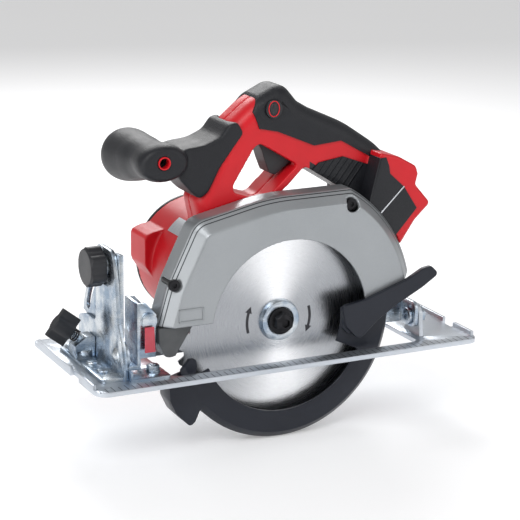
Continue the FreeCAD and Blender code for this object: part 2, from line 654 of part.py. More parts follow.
def bearing(centre, radius, bore, start, wide):
    """A ball bearing: two races and a ring of balls."""
    step = (radius - bore) * 0.3
    inner = tube("xz", centre, bore + step, bore, start, start + wide)
    outer = tube("xz", centre, radius, radius - step, start, start + wide)
    middle = (radius + bore) / 2
    ball = (radius - bore) / 2 - step + 0.35
    count = int(2 * math.pi * middle / (2.6 * ball))
    balls = []
    for i in range(count):
        x, z = polar(centre, middle, 360 * i / count)
        balls.append(Part.makeSphere(ball, Vector(x, start + wide / 2, z)))
    raceway = Part.makeTorus(middle, ball + 0.02, Vector(centre[0], start + wide / 2, centre[1]), Vector(0, 1, 0))
    return [inner.cut(raceway), outer.cut(raceway)] + balls


def spindle_bearings():
    bore = SHAFT_R + RUNNING
    return (bearing((0, 0), BEARING_R, bore, CASE_NOSE + SEAT_LIP, BEARING_WIDE)
            + bearing((0, 0), REAR_BEARING_R, bore, CASE_REAR - REAR_BEARING_WIDE, REAR_BEARING_WIDE))


def motor_bearings():
    bore = MOTOR_SHAFT_R + RUNNING
    return (bearing(MOTOR, MOTOR_BEARING_R, bore, COVER_REAR - MOTOR_BEARING_WIDE, MOTOR_BEARING_WIDE)
            + bearing(MOTOR, MOTOR_BEARING_R, bore, CAP_END - CAP_WALL - MOTOR_BEARING_WIDE, MOTOR_BEARING_WIDE))


def gear_blank(teeth):
    """The outline points of an involute gear with stub teeth, centred on a tooth at angle 0."""
    pitch_r = MODULE * teeth / 2
    base_r = pitch_r * math.cos(math.radians(PRESSURE))
    tip_r = pitch_r + 0.8 * MODULE
    root_r = pitch_r - 1.05 * MODULE

    def involute(radius):
        ratio = max(base_r, radius)
        roll = math.sqrt((ratio / base_r) ** 2 - 1)
        return roll - math.atan(roll)

    half_pitch = (math.pi * MODULE / 2 - BACKLASH) / (2 * pitch_r) + involute(pitch_r)
    steps = [root_r, max(root_r + 0.1, base_r)] + [base_r + (tip_r - base_r) * k for k in (0.35, 0.7, 1.0)]
    points = []
    for tooth in range(teeth):
        middle = 2 * math.pi * tooth / teeth
        rising = [(r, middle - half_pitch + involute(r)) for r in steps]
        falling = [(r, middle + half_pitch - involute(r)) for r in reversed(steps)]
        points += rising + falling
    return points


def spur_gear(teeth, centre, turn, low, high, bore):
    points = [(centre[0] + r * math.cos(a + turn), centre[1] + r * math.sin(a + turn)) for r, a in gear_blank(teeth)]
    return prism(points, "xz", low, high).cut(rod("xz", centre, bore, low - 1, high + 1))


def spindle_gear():
    """The large gear, turned so that one of its teeth points at the pinion."""
    return spur_gear(GEAR_TEETH, (0, 0), math.radians(MOTOR_ANGLE), GEAR_Y, GEAR_Y + GEAR_WIDE, SHAFT_R)


def pinion():
    """The motor pinion, turned so that a gap between two teeth faces the large gear."""
    turn = math.radians(MOTOR_ANGLE + 180) + math.pi / PINION_TEETH
    return spur_gear(PINION_TEETH, MOTOR, turn, GEAR_Y - 0.7, GEAR_Y + GEAR_WIDE + 0.7, MOTOR_SHAFT_R)


def spindle_shaft():
    shaft = rod("xz", (0, 0), SHAFT_R, 0.6, CASE_REAR - 0.2)
    stub = rod("xz", (0, 0), BOLT_R, -3.2, 0.6)
    return joined(shaft, stub)


def inner_flange():
    disc = rod("xz", (0, 0), 14, BLADE_THICK / 2, 3.8)
    pilot = rod("xz", (0, 0), BORE_R - 0.02, -BLADE_THICK / 2, BLADE_THICK / 2)
    bore = joined(rod("xz", (0, 0), SHAFT_R, 0.6, 5), rod("xz", (0, 0), BOLT_R, -2, 1))
    return joined(disc, pilot).cut(bore)


def outer_flange():
    disc = Part.makeCone(FLANGE_R - 1.2, FLANGE_R, 4.0, Vector(0, -4.6, 0), Vector(0, 1, 0))
    recess = rod("xz", (0, 0), 10.4, -5, -3.2)
    return disc.cut(recess).cut(rod("xz", (0, 0), BOLT_R, -6, 0))


def blade_bolt():
    washer = rod("xz", (0, 0), 9.8, -5.4, -3.2)
    head = hexagon("xz", (0, 0), 13, -12.6, -5.4)
    cap = Part.makeSphere(11.5, Vector(0, -1.6, 0))
    socket = hexagon("xz", (0, 0), 6, -13, -9.6)
    return joined(washer, head.common(cap)).cut(socket)


def blade():
    """The saw disc with its teeth, gullets and four expansion slots."""
    root = BLADE_R - 6.0
    points = []
    for i in range(BLADE_TEETH):
        start = 360.0 / BLADE_TEETH * i
        points.append(polar((0, 0), BLADE_R, start))
        points.append(polar((0, 0), BLADE_R - 0.5, start + 2.2))
        points.append(polar((0, 0), BLADE_R - 3.4, start + 4.6))
        points.append(polar((0, 0), BLADE_R - 2.8, start + 9.4))
        points.append(polar((0, 0), root, start + 11.4) + (1.0,))
        points.append(polar((0, 0), root + 0.6, start + 13.6) + (1.0,))
    half = BLADE_THICK / 2
    disc = prism(points, "xz", -half, half)
    cuts = [rod("xz", (0, 0), BORE_R, -2, 2)]
    for i in range(4):
        angle = 270 + 90 * i
        x, z = polar((0, 0), 72.0, angle)
        cuts.append(rod("xz", (x, z), 2.0, -2, 2))
        slot = block((0, -2, -0.45), (14, 2, 0.45))
        slot.rotate(Vector(0, 0, 0), Vector(0, -1, 0), angle)
        slot.translate(Vector(x, 0, z))
        cuts.append(slot)
    return without(disc, *cuts)


def spindle_lock():
    """The button and pin that stop the spindle while the blade is changed."""
    y, z = LOCK
    pin = rod("yz", LOCK, LOCK_PIN_R, LOCK_TIP - 12, LOCK_TIP)
    button = prism([(y - 6.5, z - 7, 4), (y + 6.5, z - 7, 4), (y + 6.5, z + 7, 4), (y - 6.5, z + 7, 4)], "yz",
                   LOCK_TIP - 18, LOCK_TIP - 11)
    return joined(pin, button)


def lock_spring():
    return coil(Vector(LOCK_TIP - 10.2, LOCK[0], LOCK[1]), Vector(1, 0, 0), 4.2, 0.45, 1.9, 3.5)


# ---- motor ----

def armature_core():
    """The laminated core, with slots for its windings."""
    disc = rod("xz", MOTOR, CORE_R, CORE_Y, CORE_Y + CORE_LONG)
    slots = []
    for i in range(12):
        slots.append(rod("xz", polar(MOTOR, CORE_R - 4.0, 30 * i), 2.6, CORE_Y - 1, CORE_Y + CORE_LONG + 1))
        slots.append(rod("xz", polar(MOTOR, CORE_R, 30 * i), 1.2, CORE_Y - 1, CORE_Y + CORE_LONG + 1))
    return without(disc, rod("xz", MOTOR, MOTOR_SHAFT_R, CORE_Y - 1, CORE_Y + CORE_LONG + 1), *slots)


def armature_windings():
    """The copper end turns on both sides of the core."""
    ends = []
    for low, high in ((CORE_Y - 5, CORE_Y), (CORE_Y + CORE_LONG, CORE_Y + CORE_LONG + 5)):
        ring = tube("xz", MOTOR, CORE_R - 2.0, MOTOR_SHAFT_R + 4, low, high)
        ends.append(ring)
    return ends


COMMUTATOR_Y = CORE_Y + CORE_LONG + 6.0
FAN_Y = 38.5
COMMUTATOR_R = 9.0
BRUSH_TIP = COMMUTATOR_R + PLAY


def commutator():
    ring = tube("xz", MOTOR, COMMUTATOR_R, MOTOR_SHAFT_R, COMMUTATOR_Y, COMMUTATOR_Y + 10)
    gaps = []
    for i in range(12):
        gap = block((COMMUTATOR_R - 0.8, 0, -0.25), (COMMUTATOR_R + 1, 12, 0.25))
        gap.rotate(Vector(0, 0, 0), Vector(0, 1, 0), 30 * i)
        gap.translate(Vector(MOTOR_X, COMMUTATOR_Y - 1, MOTOR_Z))
        gaps.append(gap)
    return without(ring, *gaps)


def fan():
    disc = tube("xz", MOTOR, 34.0, MOTOR_SHAFT_R, FAN_Y, FAN_Y + 1.2)
    vanes = []
    for i in range(11):
        vane = block((8, 0, -0.6), (33, 3.0, 0.6))
        vane.rotate(Vector(0, 0, 0), Vector(0, 1, 0), 360 * i / 11)
        vane.translate(Vector(MOTOR_X, FAN_Y + 1.2, MOTOR_Z))
        vanes.append(vane)
    return joined(disc, *vanes)


def armature_shaft():
    return rod("xz", MOTOR, MOTOR_SHAFT_R, CASE_FRONT + 3.5, CAP_END - 4.5)


def stator():
    """The magnet ring in its steel can, held by ribs in the motor housing."""
    can = tube("xz", MOTOR, STATOR_R, CORE_R + 0.8, CORE_Y - 1, CORE_Y + CORE_LONG + 1)
    ribs = [sector("xz", MOTOR, STATOR_R - 1, DRUM_R - DRUM_WALL, angle - 6, angle + 6, CORE_Y, CORE_Y + CORE_LONG)
            for angle in (45, 135, 225, 315)]
    return joined(can, *ribs)


def side_by_side(inner, outer, low, high, half):
    """Two boxes, one on each side of the motor's axis."""
    pair = []
    for side in (-1, 1):
        near, far = sorted((side * inner, side * outer))
        pair.append(block((MOTOR_X + near, low, MOTOR_Z - half), (MOTOR_X + far, high, MOTOR_Z + half)))
    return pair


def brush_holder():
    ring = tube("xz", MOTOR, DRUM_R - DRUM_WALL, 12, COMMUTATOR_Y + 2, COMMUTATOR_Y + 5)
    boxes = side_by_side(12, 26, COMMUTATOR_Y + 0.5, COMMUTATOR_Y + 8.5, 4.5)
    guides = side_by_side(BRUSH_TIP, 27, COMMUTATOR_Y + 1.5, COMMUTATOR_Y + 7.5, 3)
    return without(joined(ring, *boxes), *guides)


def brushes():
    return side_by_side(BRUSH_TIP, 21, COMMUTATOR_Y + 1.5, COMMUTATOR_Y + 7.5, 3)


NOSE_BLOCK = [(-30, 24), (-46, 54), (-62, 51.5, 3), (-69, 48.5, 3), (-69, 26, 4), (-55, 5, 6), (-34, -10)]


def motor_housing():
    """The drum round the motor, with the raised block at its front."""
    drum = rod("xz", MOTOR, DRUM_R, COVER_REAR, DRUM_END)
    raised = prism(NOSE_BLOCK, "xz", 84, DRUM_END)
    cavity = rod("xz", MOTOR, DRUM_R - DRUM_WALL, COVER_REAR + 3, DRUM_END + 1)
    mouth = rod("xz", MOTOR, MOTOR_BEARING_R + 1, COVER_REAR - 1, COVER_REAR + 4)
    vents = []
    for i in range(5):
        x = MOTOR_X - 24 + 12 * i
        vents.append(block((x - 2, 42, MOTOR_Z - DRUM_R - 5), (x + 2, 66, MOTOR_Z - 20)))
    return without(joined(drum, raised), cavity, mouth, *vents)


def motor_cap():
    """The end cover of the motor, with its air slots and the outer bearing seat."""
    shell = rod("xz", MOTOR, DRUM_R, DRUM_END, CAP_END)
    rim = [edge for edge in shell.Edges if edge.BoundBox.YMin > CAP_END - 0.1]
    shell = shell.makeFillet(5.0, rim)
    cavity = rod("xz", MOTOR, DRUM_R - 5, DRUM_END - 1, CAP_END - CAP_WALL)
    seat_wall = tube("xz", MOTOR, MOTOR_BEARING_R + 2.5, MOTOR_BEARING_R, CAP_END - CAP_WALL - MOTOR_BEARING_WIDE, CAP_END - CAP_WALL)
    shell = joined(shell.cut(cavity), seat_wall)
    vents = [sector("xz", MOTOR, r, r + 3, a + 8, a + 52, CAP_END - 4, CAP_END + 1)
             for r in (18, 24, 30) for a in (0, 60, 120, 180, 240, 300)]
    return without(shell, *vents)


def rating_label():
    """A blank plate on the motor drum."""
    return sector("xz", MOTOR, DRUM_R, DRUM_R + 0.4, 112, 128, 58, 78)


# ---- handle ----

FRAME = [(-50, 50, 6), (-59.5, 90, 6), (-34, 143, 24), (-15, 158.5, 60), (8, 169.5, 10), (20.5, 155, 12),
         (30, 149.5, 30), (59.5, 136.5, 90), (84.5, 120, 60), (101, 105), (84, 88), (68, 60, 8), (86, 36, 6),
         (60, 34, 8), (30, 30, 8), (-16, 30, 8)]
WINDOW = [(-34.5, 95.5, 5), (-7, 86.5, 7), (8.5, 100.5, 12), (19.5, 110.5, 2), (-13, 130, 6)]
REAR_WINDOW = [(25.5, 109, 4), (3, 88, 5), (4, 73, 5), (50, 62, 8), (64, 70, 8), (66, 84, 6)]
FOOT = [(80, 117), (96, 113, 6), (110.5, 105, 5), (112.5, 99, 4), (110.5, 91, 3), (124, 76, 3), (111, 64, 3),
        (98, 45, 3), (84, 36, 6), (70, 60, 8), (72, 84)]
SHELL_SCREWS = [(-46.5, 80), (-13, 143), (72, 113), (70, 46)]
POST_R = 4.2
SCREW_R = 2.0
SCREW_HEAD_R = 3.2
SCREW_SEAT = 3.4
BATTERY_HALF = 18.0
TERMINAL_X = 92.0
TERMINAL_LOW = 62.0
TERMINAL_HIGH = 86.0
BLADE_SIDE = HANDLE_Y - GRIP_HALF
MOTOR_SIDE = HANDLE_Y + GRIP_HALF
LOCK_SPOT = (-1.5, 153.0)
LOCK_R = 6.4
PULL = (0.94, 0.34)
TRIGGER = [(-12, 134), (-5.5, 122, 3), (-2.5, 113, 6), (1.0, 104.5, 2), (5.5, 102.5, 2), (22, 114), (16, 128)]


def soften(solid, radius):
    """A solid drawn in XZ and pushed along Y, with its long edges rounded on both sides."""
    edges = [edge for edge in solid.Edges if edge.BoundBox.YLength < 1e-6]
    return solid.makeFillet(radius, edges)


def rounded_prism(points, low, high, radius):
    return soften(prism(points, "xz", low, high), radius)


def frame_body():
    """The handle frame as one filled piece: leg, grip, brace and the bridge to the foot."""
    solid = rounded_prism(FRAME, BLADE_SIDE, MOTOR_SIDE, GRIP_ROUND)
    openings = [prism(window, "xz", BLADE_SIDE - 1, MOTOR_SIDE + 1) for window in (WINDOW, REAR_WINDOW)]
    foot = rounded_prism(FOOT, HANDLE_Y - FOOT_HALF, HANDLE_Y + FOOT_HALF, FOOT_ROUND)
    return joined(without(solid, *openings), foot)


def frame_cavity():
    """The hollow inside the handle frame."""
    face = Part.Face(outline(FRAME, "xz", BLADE_SIDE + SHELL_WALL)).makeOffset2D(-SHELL_WALL)
    solid = soften(face.extrude(Vector(0, 2 * (GRIP_HALF - SHELL_WALL), 0)), GRIP_ROUND - SHELL_WALL)
    openings = []
    for window in (WINDOW, REAR_WINDOW):
        grown = Part.Face(Part.Face(outline(window, "xz", BLADE_SIDE - 1)).makeOffset2D(SHELL_WALL).OuterWire)
        openings.append(grown.extrude(Vector(0, 2 * GRIP_HALF + 2, 0)))
    foot_face = Part.Face(outline(FOOT, "xz", HANDLE_Y - FOOT_HALF + SHELL_WALL)).makeOffset2D(-SHELL_WALL)
    foot = foot_face.extrude(Vector(0, 2 * (FOOT_HALF - SHELL_WALL), 0))
    return joined(without(solid, *openings), foot)


def frame_clearances():
    """What the handle frame makes room for: guard, gear case, motor drum, depth arc and trigger."""
    half = DEPTH_ARC_WIDTH / 2 + 1.5
    arc = sector("xz", DEPTH, DEPTH_ARC_R - half, DEPTH_ARC_R + half, DEPTH_ARC_START - DEPTH_MAX - 10,
                 DEPTH_ARC_START + DEPTH_MAX + 5.5, BLADE_SIDE - 1, LUG_REAR + 1.5)
    drum = rod("xz", MOTOR, DRUM_R, COVER_REAR, MOTOR_SIDE + 20)
    guard = rod("xz", (0, 0), GUARD_ARC_R + 1, HANDLE_Y - FOOT_HALF - 1, GUARD_RIGHT + 0.5)
    case = case_outline(0.2, CASE_FRONT - 1, COVER_REAR)
    lock = rod("xz", LOCK_SPOT, LOCK_R + 0.2, BLADE_SIDE - 1, MOTOR_SIDE + 1)
    side = TRIGGER_HALF + 0.4
    swept = []
    for share in (0, 0.5, 1):
        reach = share * (TRIGGER_TRAVEL + 0.4)
        moved = [(p[0] + PULL[0] * reach, p[1] + PULL[1] * reach) for p in TRIGGER]
        grown = Part.Face(Part.Face(outline(moved, "xz", HANDLE_Y - side)).makeOffset2D(0.4).OuterWire)
        swept.append(grown.extrude(Vector(0, 2 * side, 0)))
    room = joined(*swept)
    return [arc, drum, guard, case, lock, room]


def handle_halves():
    """The two moulded halves of the handle, split on its middle plane."""
    shell = without(frame_body(), frame_cavity())
    posts = [rod("xz", spot, POST_R, BLADE_SIDE + 1, MOTOR_SIDE - 1) for spot in SHELL_SCREWS]
    holes = [rod("xz", spot, SCREW_R, BLADE_SIDE + 5, MOTOR_SIDE) for spot in SHELL_SCREWS]
    seats = [rod("xz", spot, SCREW_HEAD_R + 0.2, MOTOR_SIDE - SCREW_SEAT, MOTOR_SIDE + 1) for spot in SHELL_SCREWS]
    y0, y1 = HANDLE_Y - BATTERY_HALF, HANDLE_Y + BATTERY_HALF
    battery = block((TERMINAL_X + 12, y0, TERMINAL_LOW), (130, y1, TERMINAL_HIGH))
    shell = without(joined(shell, *posts), *frame_clearances(), *holes, *seats, battery)
    left = shell.common(block((-200, -100, -100), (300, HANDLE_Y, 300)))
    right = shell.common(block((-200, HANDLE_Y, -100), (300, 200, 300)))
    return left, right


SKIN_AREA = [(-17, 151.5), (2, 182), (120, 150), (112, 98), (84, 86), (64, 62), (36, 88), (23, 112.5), (-12, 139)]
STRIPE = [(-12, 139.5), (2, 136.5), (32, 124), (54, 126), (86, 108, 1), (84, 104, 1), (56, 114), (36, 111), (29, 104),
          (10, 104), (-14, 128)]


def grip_overmold():
    """The soft skin that wraps the grip, open where the red stripe shows."""
    wide = Part.Face(Part.Face(outline(FRAME, "xz", BLADE_SIDE - SKIN)).makeOffset2D(SKIN).OuterWire)
    wrap = soften(wide.extrude(Vector(0, 2 * (GRIP_HALF + SKIN), 0)), GRIP_ROUND + SKIN)
    wrap = wrap.common(prism(SKIN_AREA, "xz", BLADE_SIDE - SKIN - 1, MOTOR_SIDE + SKIN + 1))
    stripe = prism(STRIPE, "xz", BLADE_SIDE - SKIN - 1, MOTOR_SIDE + SKIN + 1)
    foot = prism(FOOT, "xz", HANDLE_Y - FOOT_HALF - 1, HANDLE_Y + FOOT_HALF + 1)
    opening = prism(REAR_WINDOW, "xz", BLADE_SIDE - 5, MOTOR_SIDE + 5)
    lock = rod("xz", LOCK_SPOT, LOCK_R + 0.2, BLADE_SIDE - 5, MOTOR_SIDE + 5)
    frame = rounded_prism(FRAME, BLADE_SIDE, MOTOR_SIDE, GRIP_ROUND)
    return without(wrap, stripe, foot, frame, opening, lock, *frame_clearances())


def trigger():
    half = TRIGGER_HALF
    return prism(TRIGGER, "xz", HANDLE_Y - half, HANDLE_Y + half)


def switch_body():
    """The switch that the trigger presses, held between the walls of the halves."""
    half = GRIP_HALF - SHELL_WALL
    return joined(block((34, HANDLE_Y - half, 116), (58, HANDLE_Y + half, 130)),
                  block((32.5, HANDLE_Y - 5, 119), (34, HANDLE_Y + 5, 127)))


def trigger_spring():
    return coil(Vector(20.7, HANDLE_Y, 122), Vector(1, 0, 0), 3.0, 0.35, 1.6, 7.0)


def lock_button():
    """The cross bolt that blocks the trigger until it is pushed."""
    return rod("xz", LOCK_SPOT, LOCK_R, BLADE_SIDE - SKIN - 1.3, MOTOR_SIDE + SKIN - 1.7)


def terminal_block():
    """The block of blade contacts that takes the battery, held between the foot's side walls."""
    x = TERMINAL_X
    half = FOOT_HALF - SHELL_WALL
    plate = block((x, HANDLE_Y - half, TERMINAL_LOW), (x + 4, HANDLE_Y + half, TERMINAL_HIGH))
    body = block((x + 4, HANDLE_Y - BATTERY_HALF + 1, TERMINAL_LOW + 1), (x + 12, HANDLE_Y + BATTERY_HALF - 1, TERMINAL_HIGH - 1))
    contacts = [block((x + 12, HANDLE_Y + y - 0.5, TERMINAL_LOW + 4), (x + 18, HANDLE_Y + y + 0.5, TERMINAL_HIGH - 4))
                for y in (-12, -4, 4, 12)]
    return joined(plate, body, *contacts)


AUX_NECK = [(-74, 129, 6), (-54, 131, 14), (-42, 136, 10), (-35.5, 144.5, 3), (-29, 146, 3), (-23.5, 137.5, 3),
            (-42, 114, 20), (-51, 97, 4), (-58, 91.5, 4), (-65, 98, 5), (-74, 108, 5)]
AUX_SECTIONS = [(2.0, -88, 121.5, 15.5, 10.5), (5.0, -88, 121.5, 18.0, 12.6), (20.0, -87.5, 120.5, 17.5, 14.0),
                (45.0, -86, 117.5, 17.0, 16.0), (75.0, -84, 113.8, 19.5, 19.5), (90.0, -83, 112.5, 18.5, 18.5),
                (97.0, -82.5, 112.0, 11.0, 11.0)]


def ellipse(y, x, z, wide, tall):
    if wide >= tall:
        curve = Part.Ellipse(Vector(x + wide, y, z), Vector(x, y, z + tall - 1e-3), Vector(x, y, z))
    else:
        curve = Part.Ellipse(Vector(x, y, z + tall), Vector(x + wide - 1e-3, y, z), Vector(x, y, z))
    return Part.Wire(curve.toShape())


def aux_handle():
    """The front handle: a bar across the saw on a saddle round the leg."""
    bar = Part.makeLoft([ellipse(*section) for section in AUX_SECTIONS], True, False)
    neck = prism(AUX_NECK, "xz", BLADE_SIDE - SKIN, MOTOR_SIDE + SKIN)
    frame = rounded_prism(FRAME, BLADE_SIDE, MOTOR_SIDE, GRIP_ROUND)
    recess = rod("xz", (-89, 122.5), 4.2, 0, 14)
    return without(joined(bar, neck), frame, recess)


def aux_bolt():
    head = rod("xz", (-89, 122.5), 4.1, 9, 14)
    socket = hexagon("xz", (-89, 122.5), 4, 8, 11)
    return head.cut(socket)


DEPTH_BOLT_HEAD = DEPTH_ARC_Y - PLAY
LEVER_HUB_END = LUG_REAR + 9.0


def depth_bolt():
    """The bolt that runs in the depth arc."""
    head = rod("xz", LUG, 6.0, DEPTH_BOLT_HEAD - 1.6, DEPTH_BOLT_HEAD)
    shank = rod("xz", LUG, CLAMP_BOLT_R, DEPTH_BOLT_HEAD, LEVER_HUB_END - 2)
    return joined(head, shank)


def depth_lever():
    """The cam lever that locks the depth setting."""
    hub = rod("xz", LUG, 8.0, LUG_REAR + PLAY, LEVER_HUB_END)
    x, z = LUG
    arm = prism([(x - 2, z - 6, 4), (x + 26, z + 4, 4), (x + 32, z + 11, 4), (x + 25, z + 13, 4), (x - 4, z + 7, 4)],
                "xz", LUG_REAR + 2, LEVER_HUB_END)
    bore = rod("xz", LUG, CLAMP_BOLT_R + RUNNING, LUG_REAR, LEVER_HUB_END - 1.8)
    return joined(hub, arm).cut(bore)


def handle_screws():
    """The screws that hold the handle halves together, with their heads on the motor's side."""
    screws = []
    for spot in SHELL_SCREWS:
        floor = MOTOR_SIDE - SCREW_SEAT
        shank = rod("xz", spot, SCREW_R, BLADE_SIDE + 5, floor)
        head = rod("xz", spot, SCREW_HEAD_R, floor, floor + 2.4)
        screws.append(joined(shank, head).cut(hexagon("xz", spot, 3.4, floor + 1, floor + 3)))
    return screws


def build():
    os.makedirs("parts", exist_ok=True)
    save("shoe_plate", shoe_plate())
    save("bevel_bracket", bevel_bracket())
    save("shoe_rivets", *[rivet(spot) for spot in RIVETS])
    save("shoe_studs", stud(STUDS[0], DECK + 2.5), stud(STUDS[1], DECK + 1.6))
    save("front_pivot_rivet", front_pivot())
    save("rear_pivot_bolt", rear_pivot())
    save("sight_bracket", sight_bracket())
    save("fence_clamp", fence_clamp())
    save("fence_screw", fence_screw())
    save("fence_spring", fence_spring())
    save("fence_knob", fence_knob())
    save("tilt_bracket", tilt_bracket())
    save("depth_pivot_pin", depth_pin())
    save("depth_bracket", depth_bracket())
    save("bevel_bolt", bevel_bolt())
    save("bevel_washer", bevel_washer())
    save("bevel_knob", bevel_knob())
    save("upper_guard", upper_guard())
    save("guard_screws", *guard_screws())
    save("guard_nose", guard_nose())
    save("lower_guard", lower_guard())
    save("guard_lever", guard_lever())
    save("guard_spring", guard_spring())
    save("gear_case", gear_case())
    save("gear_cover", gear_cover())
    save("spindle_bearings", *spindle_bearings())
    save("motor_bearings", *motor_bearings())
    save("spindle_gear", spindle_gear())
    save("pinion", pinion())
    save("spindle_shaft", spindle_shaft())
    save("inner_flange", inner_flange())
    save("outer_flange", outer_flange())
    save("blade_bolt", blade_bolt())
    save("blade", blade())
    save("spindle_lock", spindle_lock())
    save("lock_spring", lock_spring())
    save("armature_core", armature_core())
    save("armature_windings", *armature_windings())
    save("commutator", commutator())
    save("fan", fan())
    save("armature_shaft", armature_shaft())
    save("stator", stator())
    save("brush_holder", brush_holder())
    save("carbon_brushes", *brushes())
    save("motor_housing", motor_housing())
    save("motor_cap", motor_cap())
    save("rating_label", rating_label())
    left, right = handle_halves()
    save("handle_left", left)
    save("handle_right", right)
    save("grip_overmold", grip_overmold())
    save("trigger", trigger())
    save("trigger_spring", trigger_spring())
    save("switch_body", switch_body())
    save("lock_off_button", lock_button())
    save("terminal_block", terminal_block())
    save("aux_handle", aux_handle())
    save("aux_handle_bolt", aux_bolt())
    save("depth_bolt", depth_bolt())
    save("depth_lever", depth_lever())
    save("handle_screws", *handle_screws())
    print(len(saved), "nodes written")


build()
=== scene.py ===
import bpy
import json
import math
from mathutils import Matrix, Vector


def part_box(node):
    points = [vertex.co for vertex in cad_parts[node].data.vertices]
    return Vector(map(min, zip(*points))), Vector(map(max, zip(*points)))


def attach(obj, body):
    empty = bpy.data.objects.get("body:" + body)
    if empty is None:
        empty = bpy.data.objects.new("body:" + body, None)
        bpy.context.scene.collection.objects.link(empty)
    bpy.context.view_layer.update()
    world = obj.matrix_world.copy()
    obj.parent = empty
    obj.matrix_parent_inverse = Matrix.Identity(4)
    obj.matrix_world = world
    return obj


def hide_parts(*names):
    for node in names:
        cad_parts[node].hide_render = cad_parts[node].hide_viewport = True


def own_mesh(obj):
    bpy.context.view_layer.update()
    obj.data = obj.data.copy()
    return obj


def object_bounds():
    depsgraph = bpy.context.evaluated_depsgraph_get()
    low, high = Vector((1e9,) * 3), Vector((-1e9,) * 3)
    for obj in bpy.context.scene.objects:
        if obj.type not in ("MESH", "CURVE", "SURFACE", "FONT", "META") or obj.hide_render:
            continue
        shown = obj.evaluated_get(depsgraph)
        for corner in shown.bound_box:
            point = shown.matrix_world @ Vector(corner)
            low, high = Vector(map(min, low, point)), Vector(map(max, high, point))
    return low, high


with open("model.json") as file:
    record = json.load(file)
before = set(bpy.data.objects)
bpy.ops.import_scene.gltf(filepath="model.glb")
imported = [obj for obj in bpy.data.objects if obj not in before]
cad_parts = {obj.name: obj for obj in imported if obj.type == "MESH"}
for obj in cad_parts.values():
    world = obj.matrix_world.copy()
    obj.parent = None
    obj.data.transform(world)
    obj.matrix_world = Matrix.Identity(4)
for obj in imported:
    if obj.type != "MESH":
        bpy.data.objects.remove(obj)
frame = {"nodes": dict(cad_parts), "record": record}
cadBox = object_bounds()
nodes = frame["nodes"]
mm = 0.001
bladeLow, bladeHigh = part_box("blade")
arbor = (bladeLow + bladeHigh) / 2  # everything below is placed from the middle of the blade


def at(x, y, z):
    return arbor + Vector((x, y, z)) * mm


class Wire:
    # a socket that can be used in sums
    def __init__(self, finish, socket):
        self.finish = finish
        self.socket = socket

    def __add__(self, other):
        return self.finish.maths("ADD", self, other)

    def __sub__(self, other):
        return self.finish.maths("SUBTRACT", self, other)

    def __rsub__(self, other):
        return self.finish.maths("SUBTRACT", other, self)

    def __mul__(self, other):
        return self.finish.maths("MULTIPLY", self, other)

    def __truediv__(self, other):
        return self.finish.maths("DIVIDE", self, other)

    def __pow__(self, other):
        return self.finish.maths("POWER", self, other)

    def __gt__(self, other):
        return self.finish.maths("GREATER_THAN", self, other)

    def __lt__(self, other):
        return self.finish.maths("LESS_THAN", self, other)

    def __abs__(self):
        return self.finish.maths("ABSOLUTE", self)

    __radd__ = __add__
    __rmul__ = __mul__


class Finish:
    # one material, built round its principled shader
    def __init__(self, name, colour, metallic=0.0, **constants):
        self.material = bpy.data.materials.new(name)
        self.material.use_nodes = True
        self.tree = self.material.node_tree
        self.shader = self.tree.nodes["Principled BSDF"]
        self.colour = (*colour, 1.0)
        self.set("Base Color", self.colour)
        self.set("Metallic", metallic)
        for key, value in constants.items():
            self.set(key.replace("_", " "), value)

    def set(self, key, value):
        if isinstance(value, Wire):
            self.tree.links.new(value.socket, self.shader.inputs[key])
        else:
            self.shader.inputs[key].default_value = value

    def node(self, kind, settings=None, inputs=None, output=0):
        made = self.tree.nodes.new(kind)
        for key, value in (settings or {}).items():
            setattr(made, key, value)
        for key, value in (inputs or {}).items():
            if isinstance(value, Wire):
                self.tree.links.new(value.socket, made.inputs[key])
            else:
                made.inputs[key].default_value = value
        return Wire(self, made.outputs[output])

    def maths(self, operation, *values):
        return self.node("ShaderNodeMath", {"operation": operation}, dict(enumerate(values)))

    def spot(self, centre=(0, 0, 0), stretch=(1, 1, 1)):
        # the point on the surface, from a centre, stretched
        place = self.node("ShaderNodeTexCoord", output="Object")
        shift = tuple(-centre[i] * stretch[i] for i in range(3))
        return self.node("ShaderNodeMapping", inputs={"Vector": place, "Location": shift, "Scale": stretch})

    def split(self, centre=(0, 0, 0)):
        spot = self.spot(centre)
        return [self.node("ShaderNodeSeparateXYZ", inputs={0: spot}, output=i) for i in range(3)]

    def noise(self, scale, detail=2.0, roughness=0.5, spot=None):
        inputs = {"Vector": spot or self.spot(), "Scale": scale, "Detail": detail, "Roughness": roughness}
        return self.node("ShaderNodeTexNoise", inputs=inputs)

    def pebbles(self, scale):
        return self.node("ShaderNodeTexVoronoi", inputs={"Vector": self.spot(), "Scale": scale})

    def band(self, value, middle, half):
        return abs(value - middle * mm) < half * mm

    def rough(self, mask, least, span):
        self.set("Roughness", mask * span + least)

    def between(self, value, low, high):
        return self.node("ShaderNodeMapRange", {"interpolation_type": "SMOOTHSTEP"},
                         {"Value": value, "From Min": low, "From Max": high})

    def blend(self, mask, first, second):
        # sockets 0, 6, 7 and 2 are the factor, the two colours and the mixed colour
        return self.node("ShaderNodeMix", {"data_type": "RGBA"}, {0: mask, 6: first, 7: second}, 2)

    def shade(self, mask, amount):
        # the base colour, darker where the mask is high
        darker = tuple(c * (1 - amount) for c in self.colour[:3]) + (1.0,)
        self.set("Base Color", self.blend(mask, self.colour, darker))

    def bump(self, height, depth, strength=1.0):
        self.set("Normal", self.node("ShaderNodeBump", inputs={
            "Height": height, "Distance": depth, "Strength": strength}))


def opaque(colour):
    return (*colour, 1.0)


